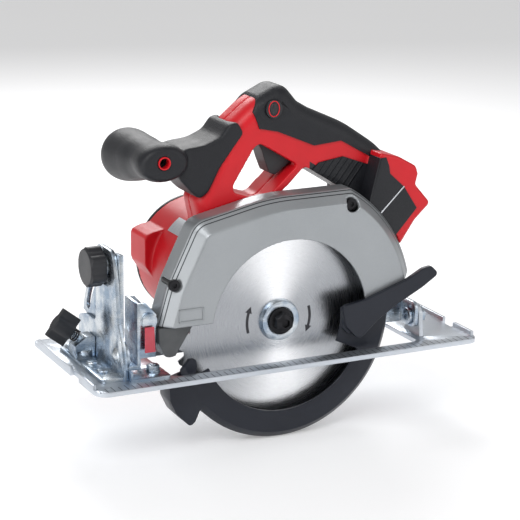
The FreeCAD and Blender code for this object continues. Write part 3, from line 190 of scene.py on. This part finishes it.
nylonSet = {"red": (0.64, 0.008, 0.016), "deep": 0.82, "cloud": 60, "grain": 1500, "depth": 0.00004,
            "under": (0.012, 0.013, 0.017), "underFrom": 29, "underTo": 64, "slope": 0.617, "level": 124.7,
            "underHalf": 5.5}


def redNylon():
    finish = Finish("redNylon", nylonSet["red"], Specular_IOR_Level=0.4)
    cloud = finish.noise(nylonSet["cloud"], 3)
    deep = opaque(c * nylonSet["deep"] for c in nylonSet["red"])
    red = finish.blend(cloud, finish.colour, deep)
    # a slanted strip under the grip is black
    x, y, z = finish.split(arbor)
    under = (x > nylonSet["underFrom"] * mm) * (x < nylonSet["underTo"] * mm)
    under = under * finish.band(z + x * nylonSet["slope"], nylonSet["level"], nylonSet["underHalf"])
    finish.set("Base Color", finish.blend(under, red, opaque(nylonSet["under"])))
    finish.rough(cloud, 0.29, 0.16)
    finish.bump(finish.noise(nylonSet["grain"], 2), nylonSet["depth"])
    return finish.material


blackSet = {"colour": (0.013, 0.014, 0.017), "cloud": 80, "grain": 1400, "depth": 0.00005}


def blackNylon():
    finish = Finish("blackNylon", blackSet["colour"])
    finish.rough(finish.noise(blackSet["cloud"], 3), 0.3, 0.2)
    finish.bump(finish.noise(blackSet["grain"], 2), blackSet["depth"])
    return finish.material


gripSet = {"colour": (0.011, 0.012, 0.016), "wear": 35, "cloud": 90, "pebble": 1050, "grain": 2200,
           "depth": 0.00016, "ribDepth": 7.0, "ribPitch": 4.6, "ribFrom": -40, "ribTo": -6, "ribFade": 2,
           "ribTop": 114, "ribTurn": (0.79, 0.61)}


def ribs(finish):
    # slanted finger ribs on the patch under the stripe
    x, y, z = finish.split(arbor)
    across = x * gripSet["ribTurn"][0] - z * gripSet["ribTurn"][1]
    first, last, fade = gripSet["ribFrom"] * mm, gripSet["ribTo"] * mm, gripSet["ribFade"] * mm
    patch = finish.between(across, first, first + fade) * finish.between(across, last, last - fade)
    wave = finish.maths("SINE", across * (2 * math.pi / (gripSet["ribPitch"] * mm)))
    return finish.between(wave, 0.2, 0.9) * patch * (z < gripSet["ribTop"] * mm) * gripSet["ribDepth"]


def softGrip(name, ribbed=False):
    finish = Finish(name, gripSet["colour"], Specular_IOR_Level=0.38)
    finish.shade(finish.noise(gripSet["wear"], 3), 0.35)
    finish.rough(finish.noise(gripSet["cloud"], 3), 0.36, 0.22)
    grain = finish.pebbles(gripSet["pebble"]) * 0.7 + finish.noise(gripSet["grain"], 2) * 0.5
    finish.bump(grain + ribs(finish) if ribbed else grain, gripSet["depth"])
    return finish.material


guardSet = {"light": (0.46, 0.48, 0.50), "dark": (0.24, 0.258, 0.27), "line": (0.05, 0.055, 0.06),
            "flake": 5200, "cloud": 25, "peel": 900, "depth": 0.00005, "groove": 6.0, "seams": (-8.4, -6.2),
            "seamHalf": 0.28}


def guardPaint():
    finish = Finish("guardPaint", guardSet["light"], 0.6)
    flakes = finish.noise(guardSet["flake"], 1)
    cloud = finish.noise(guardSet["cloud"], 3)
    paint = finish.blend(flakes * 0.7 + cloud * 0.3, opaque(guardSet["dark"]), finish.colour)
    # two seams run round the rim, a little behind the face
    x, y, z = finish.split(arbor)
    front, back = (finish.band(y, seam, guardSet["seamHalf"]) for seam in guardSet["seams"])
    seam = front + back
    finish.set("Base Color", finish.blend(seam, paint, opaque(guardSet["line"])))
    finish.rough(cloud, 0.3, 0.14)
    peel = finish.noise(guardSet["peel"], 2) + flakes * 0.4
    finish.bump(peel - seam * guardSet["groove"], guardSet["depth"])
    return finish.material


castSet = {"colour": (0.12, 0.125, 0.13), "cloud": 120, "grain": 650, "depth": 0.00022}


def castGrey():
    finish = Finish("castGrey", castSet["colour"], 0.5)
    cloud = finish.noise(castSet["cloud"], 4)
    finish.shade(cloud, 0.4)
    finish.rough(cloud, 0.36, 0.2)
    finish.bump(finish.noise(castSet["grain"], 4), castSet["depth"])
    return finish.material


charcoalSet = {"colour": (0.018, 0.021, 0.031), "cloud": 45, "grain": 1100, "depth": 0.00005}


def charcoalPaint():
    finish = Finish("charcoalPaint", charcoalSet["colour"], 0.25, Specular_IOR_Level=0.4)
    cloud = finish.noise(charcoalSet["cloud"], 4)
    finish.shade(cloud, 0.3)
    finish.rough(cloud, 0.26, 0.22)
    finish.bump(finish.noise(charcoalSet["grain"], 2), charcoalSet["depth"])
    return finish.material


zincSet = {"blue": (0.30, 0.38, 0.48), "pale": (0.66, 0.70, 0.73), "cloud": 55, "rolled": 90,
           "stretch": (1, 14, 14), "pits": 420, "depth": 0.0001}


def zincPlate():
    finish = Finish("zincPlate", zincSet["pale"], 1.0)
    cloud = finish.noise(zincSet["cloud"], 4, 0.6)
    bloom = finish.between(cloud, 0.35, 0.65)
    finish.set("Base Color", finish.blend(bloom, opaque(zincSet["blue"]), finish.colour))
    rolled = finish.noise(zincSet["rolled"], 3, 0.6, finish.spot(stretch=zincSet["stretch"]))
    finish.rough(rolled, 0.16, 0.26)
    finish.bump(finish.noise(zincSet["pits"], 4) + rolled * 0.5, zincSet["depth"], 0.6)
    return finish.material


shoeSet = {"pale": (0.74, 0.77, 0.80), "blue": (0.42, 0.47, 0.54), "mark": (0.20, 0.22, 0.25), "grain": 160,
           "stretch": (1, 22, 22), "cloud": 18, "depth": 0.00006, "tick": 5.0, "tickWide": 0.16,
           "bandFrom": -31.5, "bandTo": -24.0, "longTo": -22.0, "above": -26}


def rulerTicks(finish):
    # evenly spaced ticks on the left strip of the shoe, every other one longer
    x, y, z = finish.split(arbor)
    steps = x / (shoeSet["tick"] * mm)
    half = shoeSet["tickWide"] / 2
    tick = abs(finish.maths("FRACT", steps) - 0.5) > 0.5 - half
    tall = abs(finish.maths("FRACT", steps / 2) - 0.5) > 0.5 - half / 2
    strip = (y > shoeSet["bandFrom"] * mm) * (y < shoeSet["bandTo"] * mm)
    longer = (y > shoeSet["bandTo"] * mm) * (y < shoeSet["longTo"] * mm)
    return (tick * strip + tall * longer) * (z > shoeSet["above"] * mm)


def shoeMetal():
    finish = Finish("shoeMetal", shoeSet["pale"], 0.9)
    grain = finish.noise(shoeSet["grain"], 4, 0.6, finish.spot(stretch=shoeSet["stretch"]))
    cloud = finish.noise(shoeSet["cloud"], 3)
    metal = finish.blend(grain * 0.6 + cloud * 0.4, opaque(shoeSet["blue"]), finish.colour)
    finish.set("Base Color", finish.blend(rulerTicks(finish), metal, opaque(shoeSet["mark"])))
    finish.rough(grain, 0.2, 0.24)
    finish.bump(grain, shoeSet["depth"])
    return finish.material


# the blade's base colour runs from grey to pale, and is pale where the painted highlight wedges fall
bladeSet = {"pale": (0.95, 0.96, 0.98), "grey": (0.24, 0.255, 0.28), "ink": (0.05, 0.05, 0.055), "ring": 5200,
            "ringTurn": 3.0, "cloud": 40, "paintedGlintAt": 3.3, "depth": 0.00003, "arrowAt": 25.5, "arrowHalf": 1.1,
            "arrowLong": 0.3, "headEnd": 0.5, "headWide": 14.0}


def turnArrows(finish, radius, angle):
    # a plain arrow on each side shows the way the blade turns
    turned = finish.maths("WRAP", angle, math.pi / 2, -math.pi / 2)
    away = abs(radius - bladeSet["arrowAt"] * mm)
    shaft = (away < bladeSet["arrowHalf"] * mm) * (abs(turned) < bladeSet["arrowLong"])
    tip = away < (turned + bladeSet["headEnd"]) * bladeSet["headWide"] * mm
    return finish.maths("MINIMUM", shaft + tip * (turned < -bladeSet["arrowLong"]), 1.0)


def bladeSteel():
    finish = Finish("bladeSteel", bladeSet["pale"], 1.0)
    x, y, z = finish.split(arbor)
    radius = (x * x + z * z) ** 0.5
    angle = finish.maths("ARCTAN2", z, x)
    polar = {0: radius * bladeSet["ring"], 1: angle * bladeSet["ringTurn"]}
    rings = finish.node("ShaderNodeTexNoise", {"noise_dimensions": "2D"}, {
        "Vector": finish.node("ShaderNodeCombineXYZ", inputs=polar), "Scale": 1.0, "Detail": 3.0})
    # painted highlight: two bright wedges on opposite sides of the blade are painted into the base colour,
    # mixed with the real ground rings and a little random tone
    paintedGlint = finish.maths("COSINE", angle * 2 - bladeSet["paintedGlintAt"]) * 0.5 + 0.5
    paintedGlintAndRings = paintedGlint ** 3 * 0.85 + rings * 0.28 + finish.noise(bladeSet["cloud"], 4) * 0.1
    metal = finish.blend(paintedGlintAndRings, opaque(bladeSet["grey"]), finish.colour)
    arrows = turnArrows(finish, radius, angle)
    finish.set("Base Color", finish.blend(arrows, metal, opaque(bladeSet["ink"])))
    finish.rough(rings, 0.17, 0.2)
    finish.bump(rings, bladeSet["depth"])
    return finish.material


steelSet = {"cloud": 300, "grain": 2500, "depth": 0.00002}


def plainSteel(name, colour, roughness, metallic=1.0):
    # a slightly stained finish for the small metal parts
    finish = Finish(name, colour, metallic)
    cloud = finish.noise(steelSet["cloud"], 3)
    finish.shade(cloud, 0.25)
    finish.rough(cloud, roughness - 0.1, 0.2)
    finish.bump(finish.noise(steelSet["grain"], 2), steelSet["depth"])
    return finish.material


def redLens():
    finish = Finish("redLens", (0.55, 0.03, 0.06), Roughness=0.12, Coat_Weight=0.6)
    finish.shade(finish.noise(200, 2), 0.3)
    return finish.material


def selectOnly(piece):
    bpy.ops.object.select_all(action="DESELECT")
    piece.select_set(True)
    bpy.context.view_layer.objects.active = piece


def modify(piece, kind, **settings):
    # adds one modifier and applies it
    selectOnly(piece)
    modifier = piece.modifiers.new(kind, kind)
    for key, value in settings.items():
        setattr(modifier, key, value)
    bpy.ops.object.modifier_apply(modifier=modifier.name)


def breakEdges(piece, width, segments, angle):
    modify(piece, "BEVEL", width=width * mm, segments=segments, limit_method="ANGLE",
           angle_limit=math.radians(angle))


def newPiece(name):
    # the primitive that was just added
    piece = bpy.context.object
    piece.name = name
    return piece


def copyOf(node, name):
    # a merged copy of a CAD node's mesh
    piece = bpy.data.objects.new(name, nodes[node].data.copy())
    bpy.context.collection.objects.link(piece)
    selectOnly(piece)
    bpy.ops.object.mode_set(mode="EDIT")
    bpy.ops.mesh.select_all(action="SELECT")
    bpy.ops.mesh.remove_doubles(threshold=0.00001)
    bpy.ops.object.mode_set(mode="OBJECT")
    return piece


def keepInside(piece, node):
    # no vertex passes the box of the node that the piece stands for
    low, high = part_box(node)
    for vertex in piece.data.vertices:
        vertex.co = [min(max(vertex.co[i], low[i]), high[i]) for i in range(3)]


def coat(piece, finishName):
    piece.data.materials.clear()
    piece.data.materials.append(finishes[finishName])


def wear(piece, finishName, body):
    coat(piece, finishName)
    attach(piece, body)


def standIn(piece, node):
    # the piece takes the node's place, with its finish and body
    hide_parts(node)
    wear(piece, finishOf(node), bodyOf[node])


def moulded(node, voxel, passes, keep):
    # a copy whose edges are rounded as a moulding's are
    piece = copyOf(node, node + "Moulded")
    modify(piece, "REMESH", mode="VOXEL", voxel_size=voxel * mm)
    modify(piece, "SMOOTH", factor=0.5, iterations=passes)
    modify(piece, "DECIMATE", ratio=keep)
    keepInside(piece, node)
    selectOnly(piece)
    bpy.ops.object.shade_smooth()
    standIn(piece, node)


def pressed(node, width):
    # a copy whose sharp edges are broken, as on pressed or turned metal
    piece = copyOf(node, node + "Pressed")
    bpy.ops.object.mode_set(mode="EDIT")
    bpy.ops.mesh.select_all(action="SELECT")
    bpy.ops.mesh.dissolve_limited(angle_limit=math.radians(0.6))
    bpy.ops.object.mode_set(mode="OBJECT")
    breakEdges(piece, width, 2, 35)
    keepInside(piece, node)
    selectOnly(piece)
    bpy.ops.object.shade_smooth_by_angle(angle=math.radians(32))
    standIn(piece, node)


def plate(name, points, near, far, soft):
    # a flat piece: an outline in XZ, pushed along Y and bevelled
    bpy.ops.object.select_all(action="DESELECT")
    bpy.ops.mesh.primitive_circle_add(vertices=len(points), radius=mm, fill_type="NGON")
    piece = newPiece(name)
    for vertex, (x, z) in zip(piece.data.vertices, points):
        vertex.co = at(x, near, z)
    bpy.ops.object.mode_set(mode="EDIT")
    bpy.ops.mesh.select_all(action="SELECT")
    bpy.ops.mesh.extrude_region_move(TRANSFORM_OT_translate={"value": (0, (far - near) * mm, 0)})
    bpy.ops.mesh.select_all(action="SELECT")
    bpy.ops.mesh.normals_make_consistent(inside=False)
    bpy.ops.object.mode_set(mode="OBJECT")
    breakEdges(piece, soft, 3, 40)
    selectOnly(piece)
    bpy.ops.object.shade_smooth_by_angle(angle=math.radians(35))
    return piece


def ring(name, centre, radius, thick, deep, soft=0.2, tall=1.0):
    # a short tube about an axis along Y, round or oval
    bpy.ops.object.select_all(action="DESELECT")
    bpy.ops.mesh.primitive_cylinder_add(vertices=64, radius=radius * mm, depth=deep * mm, location=centre,
                                        end_fill_type="NOTHING", rotation=(math.pi / 2, 0, 0))
    piece = newPiece(name)
    piece.scale = (1, tall, 1)
    bpy.ops.object.transform_apply(location=True, rotation=True, scale=True)
    bpy.ops.object.mode_set(mode="EDIT")
    bpy.ops.mesh.select_all(action="SELECT")
    bpy.ops.mesh.normals_make_consistent(inside=False)
    bpy.ops.object.mode_set(mode="OBJECT")
    modify(piece, "SOLIDIFY", thickness=thick * mm, offset=-1.0)
    breakEdges(piece, soft, 3, 40)
    selectOnly(piece)
    bpy.ops.object.shade_smooth_by_angle(angle=math.radians(35))
    return piece


finishes = {
    "red": redNylon(), "black": blackNylon(), "grip": softGrip("softGrip"),
    "ribbed": softGrip("ribbedGrip", True), "guard": guardPaint(), "cast": castGrey(),
    "charcoal": charcoalPaint(), "zinc": zincPlate(), "shoe": shoeMetal(), "blade": bladeSteel(),
    "lens": redLens(),
    "oxide": plainSteel("blackOxide", (0.025, 0.025, 0.028), 0.38, 0.8),
    "ground": plainSteel("groundSteel", (0.66, 0.67, 0.69), 0.26),
    "lamination": plainSteel("lamination", (0.22, 0.22, 0.23), 0.5),
    "copper": plainSteel("copper", (0.62, 0.24, 0.10), 0.35),
    "carbon": plainSteel("carbon", (0.02, 0.02, 0.02), 0.7, 0.0),
    "foil": plainSteel("foil", (0.72, 0.74, 0.78), 0.35),
}
slotFinish = {
    "red_nylon": "red", "black_nylon": "black", "soft_grip": "grip", "grey_guard": "guard",
    "nose_casting": "cast", "dark_guard": "charcoal", "zinc_steel": "zinc", "dark_steel": "oxide",
    "bright_steel": "ground", "blade_steel": "blade", "shoe_metal": "shoe",
    "lamination": "lamination", "copper": "copper", "carbon": "carbon", "label_foil": "foil",
}
slotOf = {part["node"]: part["material_slot"] for part in frame["record"]["subparts"]}
bodyOf = {node: body for body, members in frame["record"]["behaviour"]["bodies"].items() for node in members}
ownFinish = {"grip_overmold": "ribbed"}


def finishOf(node):
    return ownFinish.get(node, slotFinish[slotOf[node]])


for node, piece in nodes.items():
    coat(piece, finishOf(node))
print("finishes on", len(nodes), "nodes")

# voxel size, smoothing passes and the share of faces kept
mouldedSet = {
    "handle_left": (1.0, 4, 0.5), "handle_right": (1.0, 4, 0.5), "motor_housing": (1.0, 4, 0.5),
    "motor_cap": (0.9, 3, 0.6), "aux_handle": (0.8, 60, 0.6), "upper_guard": (0.95, 3, 0.5),
    "guard_nose": (0.5, 4, 0.6), "guard_lever": (0.5, 5, 0.7), "bevel_knob": (0.5, 5, 0.7),
    "trigger": (0.4, 5, 0.8), "depth_lever": (0.5, 5, 0.7), "spindle_lock": (0.4, 3, 0.8),
}
for node, (voxel, passes, keep) in mouldedSet.items():
    moulded(node, voxel, passes, keep)
print("moulded", len(mouldedSet))

# the width of each broken edge
pressedSet = {
    "lower_guard": 0.5, "shoe_plate": 0.5, "bevel_bracket": 0.45, "tilt_bracket": 0.45, "depth_bracket": 0.4,
    "sight_bracket": 0.3, "fence_clamp": 0.4, "grip_overmold": 0.35, "blade_bolt": 0.35, "outer_flange": 0.3,
    "inner_flange": 0.3, "shoe_rivets": 0.15, "shoe_studs": 0.2, "bevel_bolt": 0.2, "bevel_washer": 0.15,
    "rear_pivot_bolt": 0.25, "depth_pivot_pin": 0.25, "gear_case": 0.4, "gear_cover": 0.3,
    "guard_screws": 0.2,
}
for node, width in pressedSet.items():
    pressed(node, width)
print("pressed", len(pressedSet))


footSet = {
    "near": -4.0, "far": 60.0, "proud": 0.7, "sunk": 0.6, "soft": 0.3, "seamOut": 0.15,
    "seamThick": 0.5, "seamSoft": 0.1,
    "flank": [(79.3, 113.5), (84, 113.8), (86.6, 107.5), (87.7, 101.4), (100, 90.5), (111.5, 73.5),
              (95, 55.3), (85, 37.5), (70.4, 60), (72.3, 84)],
    "front": [(78.6, 113.8), (71.3, 84.1), (69.2, 60), (83.5, 35.5), (85, 37), (71, 60), (73, 84),
              (80.2, 113.4)],
    "seam": [(100.2, 90.6), (99.5, 91.2), (80.6, 72.9), (81.3, 72.2)],
}


def footSkin():
    # charcoal skin over the flanks and the front of the battery foot, with a light seam on each flank
    near, far, proud, sunk, soft = (footSet[key] for key in ("near", "far", "proud", "sunk", "soft"))
    skins = [("footSkinLeft", "flank", near - proud, near + sunk),
             ("footSkinRight", "flank", far - sunk, far + proud),
             ("footSkinFront", "front", near - proud, far + proud)]
    pieces = [plate(name, footSet[shape], start, end, soft) for name, shape, start, end in skins]
    for piece in pieces:
        wear(piece, "grip", "head")
    out, thick = footSet["seamOut"], footSet["seamThick"]
    for side, y in (("Left", near - proud - out), ("Right", far + proud + out - thick)):
        seam = plate("footSeam" + side, footSet["seam"], y, y + thick, footSet["seamSoft"])
        wear(seam, "foil", "head")


badgeSet = {"left": -85.5, "right": -66.5, "low": 12.0, "high": 21.5, "wide": 0.8, "front": -15.9,
            "back": -14.6, "soft": 0.2}


def badge():
    # a plain raised frame on the guard's face, with nothing in it
    left, right, low, high, wide = (badgeSet[key] for key in ("left", "right", "low", "high", "wide"))
    sides = [(left, right, low, low + wide), (left, right, high - wide, high), (left, left + wide, low, high),
             (right - wide, right, low, high)]
    for i, (x0, x1, z0, z1) in enumerate(sides):
        corners = [(x0, z0), (x1, z0), (x1, z1), (x0, z1)]
        bar = plate("badgeBar" + str(i), corners, badgeSet["front"], badgeSet["back"], badgeSet["soft"])
        wear(bar, "guard", "head")


lockSet = {"spot": (-1.8, 153.4), "ring": 4.5, "thick": 0.7, "deep": 0.9, "tall": 1.3, "pad": (2.9, 1.1, 4.3)}


def lockPads():
    # each end of the lock-off button has an oval red rim and a raised thumb pad
    low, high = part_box("lock_off_button")
    x, z = lockSet["spot"]
    for side, y in (("Left", low.y), ("Right", high.y)):
        centre = at(x, 0, z)
        centre.y = y
        rim = ring("lockRim" + side, centre, lockSet["ring"], lockSet["thick"], lockSet["deep"],
                   tall=lockSet["tall"])
        wear(rim, "red", "lock_off_button")
        bpy.ops.object.select_all(action="DESELECT")
        bpy.ops.mesh.primitive_uv_sphere_add(segments=40, ring_count=24, radius=mm, location=centre)
        pad = newPiece("lockPad" + side)
        pad.scale = lockSet["pad"]
        bpy.ops.object.transform_apply(location=True, rotation=True, scale=True)
        bpy.ops.object.shade_smooth()
        wear(pad, "black", "lock_off_button")


socketSet = {"place": (-89, 4.6, 122.5), "radius": 4.6, "thick": 0.9, "deep": 6.0}


def gripSocket():
    # red lining of the recess in the end of the front grip
    lining = ring("gripSocket", at(*socketSet["place"]), socketSet["radius"], socketSet["thick"],
                  socketSet["deep"])
    wear(lining, "red", "head")


lensSet = {"outline": [(-109.5, 10.5), (-102.5, 10.5), (-101.5, -8), (-109.5, -8)], "proud": 0.5, "sunk": 0.2,
           "soft": 0.15}


def sightLens():
    # a red window on the outer cheek of the tilt bracket
    low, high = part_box("tilt_bracket")
    y = (low.y - arbor.y) / mm
    lens = plate("sightLens", lensSet["outline"], y - lensSet["proud"], y + lensSet["sunk"], lensSet["soft"])
    wear(lens, "lens", "tilt_frame")


wingSet = {"voxel": 0.4, "passes": 9, "slim": 0.62}


def wingKnob():
    # the fence knob is a slim wing, so its moulding is narrowed along Y
    low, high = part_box("fence_knob")
    middle = (low.y + high.y) / 2
    piece = copyOf("fence_knob", "fenceKnobMoulded")
    modify(piece, "REMESH", mode="VOXEL", voxel_size=wingSet["voxel"] * mm)
    modify(piece, "SMOOTH", factor=0.5, iterations=wingSet["passes"])
    for vertex in piece.data.vertices:
        vertex.co.y = middle + (vertex.co.y - middle) * wingSet["slim"]
    keepInside(piece, "fence_knob")
    selectOnly(piece)
    bpy.ops.object.shade_smooth()
    standIn(piece, "fence_knob")


labelSet = {"turn": -13}


def drumLabel():
    # the plain foil label is turned round the drum, to where it can be seen
    low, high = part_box("armature_shaft")
    centre = (low + high) / 2
    swing = Matrix.Rotation(math.radians(labelSet["turn"]), 4, "Y")
    piece = copyOf("rating_label", "drumLabel")
    piece.data.transform(Matrix.Translation(centre) @ swing @ Matrix.Translation(-centre))
    standIn(piece, "rating_label")


# the joint that squeezes each spring, and the share of its length left at the end
springSet = {"trigger_spring": ("trigger_pull", 0.46), "lock_spring": ("spindle_lock_push", 0.68)}


def squeezeSprings():
    # each return spring is swapped for a smooth-shaded copy with a mesh of its own
    for node, (joint, keep) in springSet.items():
        piece = copyOf(node, node + "Soft")
        selectOnly(piece)
        bpy.ops.object.shade_smooth()
        standIn(piece, node)
        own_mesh(piece)


footSkin()
badge()
lockPads()
gripSocket()
sightLens()
wingKnob()
drumLabel()
squeezeSprings()
print("small pieces done")


cameraSet = {"azimuth": 26.75, "elevation": 15.45, "roll": 0.87, "lens": 125.2, "place": (-577, -1114, 391)}


def makeCamera():
    azimuth, elevation, roll = (math.radians(cameraSet[key]) for key in ("azimuth", "elevation", "roll"))
    flat = math.cos(elevation)
    forward = Vector((math.sin(azimuth) * flat, math.cos(azimuth) * flat, -math.sin(elevation)))
    right = Vector((math.cos(azimuth), -math.sin(azimuth), 0))
    up = right.cross(forward)
    turned = right * math.cos(roll) + up * math.sin(roll)
    upright = up * math.cos(roll) - right * math.sin(roll)
    data = bpy.data.cameras.new("camera")
    data.lens = cameraSet["lens"]
    camera = bpy.data.objects.new("camera", data)
    bpy.context.collection.objects.link(camera)
    turn = Matrix((turned, upright, -forward)).transposed().to_4x4()
    camera.matrix_world = Matrix.Translation(at(*cameraSet["place"])) @ turn
    bpy.context.scene.camera = camera


# place, power and size of each soft light
lightSet = {
    "key": ((-700, -900, 1150), 10.4, 0.8), "fill": ((900, -1000, 600), 3.52, 1.0),
    "back": ((300, 1100, 900), 11.2, 0.8), "low": ((-1100, -300, 260), 2.56, 0.6),
}
skySet = {"colour": (1.0, 1.0, 1.0, 1.0), "strength": 0.42}


def lightUp():
    for name, (place, power, size) in lightSet.items():
        data = bpy.data.lights.new(name, "AREA")
        data.energy = power
        data.size = size
        lamp = bpy.data.objects.new(name, data)
        bpy.context.collection.objects.link(lamp)
        lamp.location = at(*place)
        lamp.rotation_euler = (at(0, 0, 50) - lamp.location).to_track_quat("-Z", "Y").to_euler()
    world = bpy.data.worlds.new("softWorld")
    bpy.context.scene.world = world
    world.use_nodes = True
    sky = world.node_tree.nodes["Background"]
    sky.inputs["Color"].default_value = skySet["colour"]
    sky.inputs["Strength"].default_value = skySet["strength"]


floorSet = {"size": 14, "gap": 0.0004, "colour": (0.86, 0.86, 0.87), "glow": 0.26}


def makeFloor():
    bpy.ops.object.select_all(action="DESELECT")
    bpy.ops.mesh.primitive_plane_add(size=floorSet["size"], location=(0, 0, cadBox[0][2] - floorSet["gap"]))
    floor = newPiece("floor")
    finish = Finish("paleFloor", floorSet["colour"], Roughness=0.7, Emission_Color=(1, 1, 1, 1),
                    Emission_Strength=floorSet["glow"])
    finish.shade(finish.noise(3, 2), 0.03)
    floor.data.materials.append(finish.material)


makeCamera()
lightUp()
makeFloor()
bpy.context.scene.view_settings.view_transform = "Standard"
print("stage done")
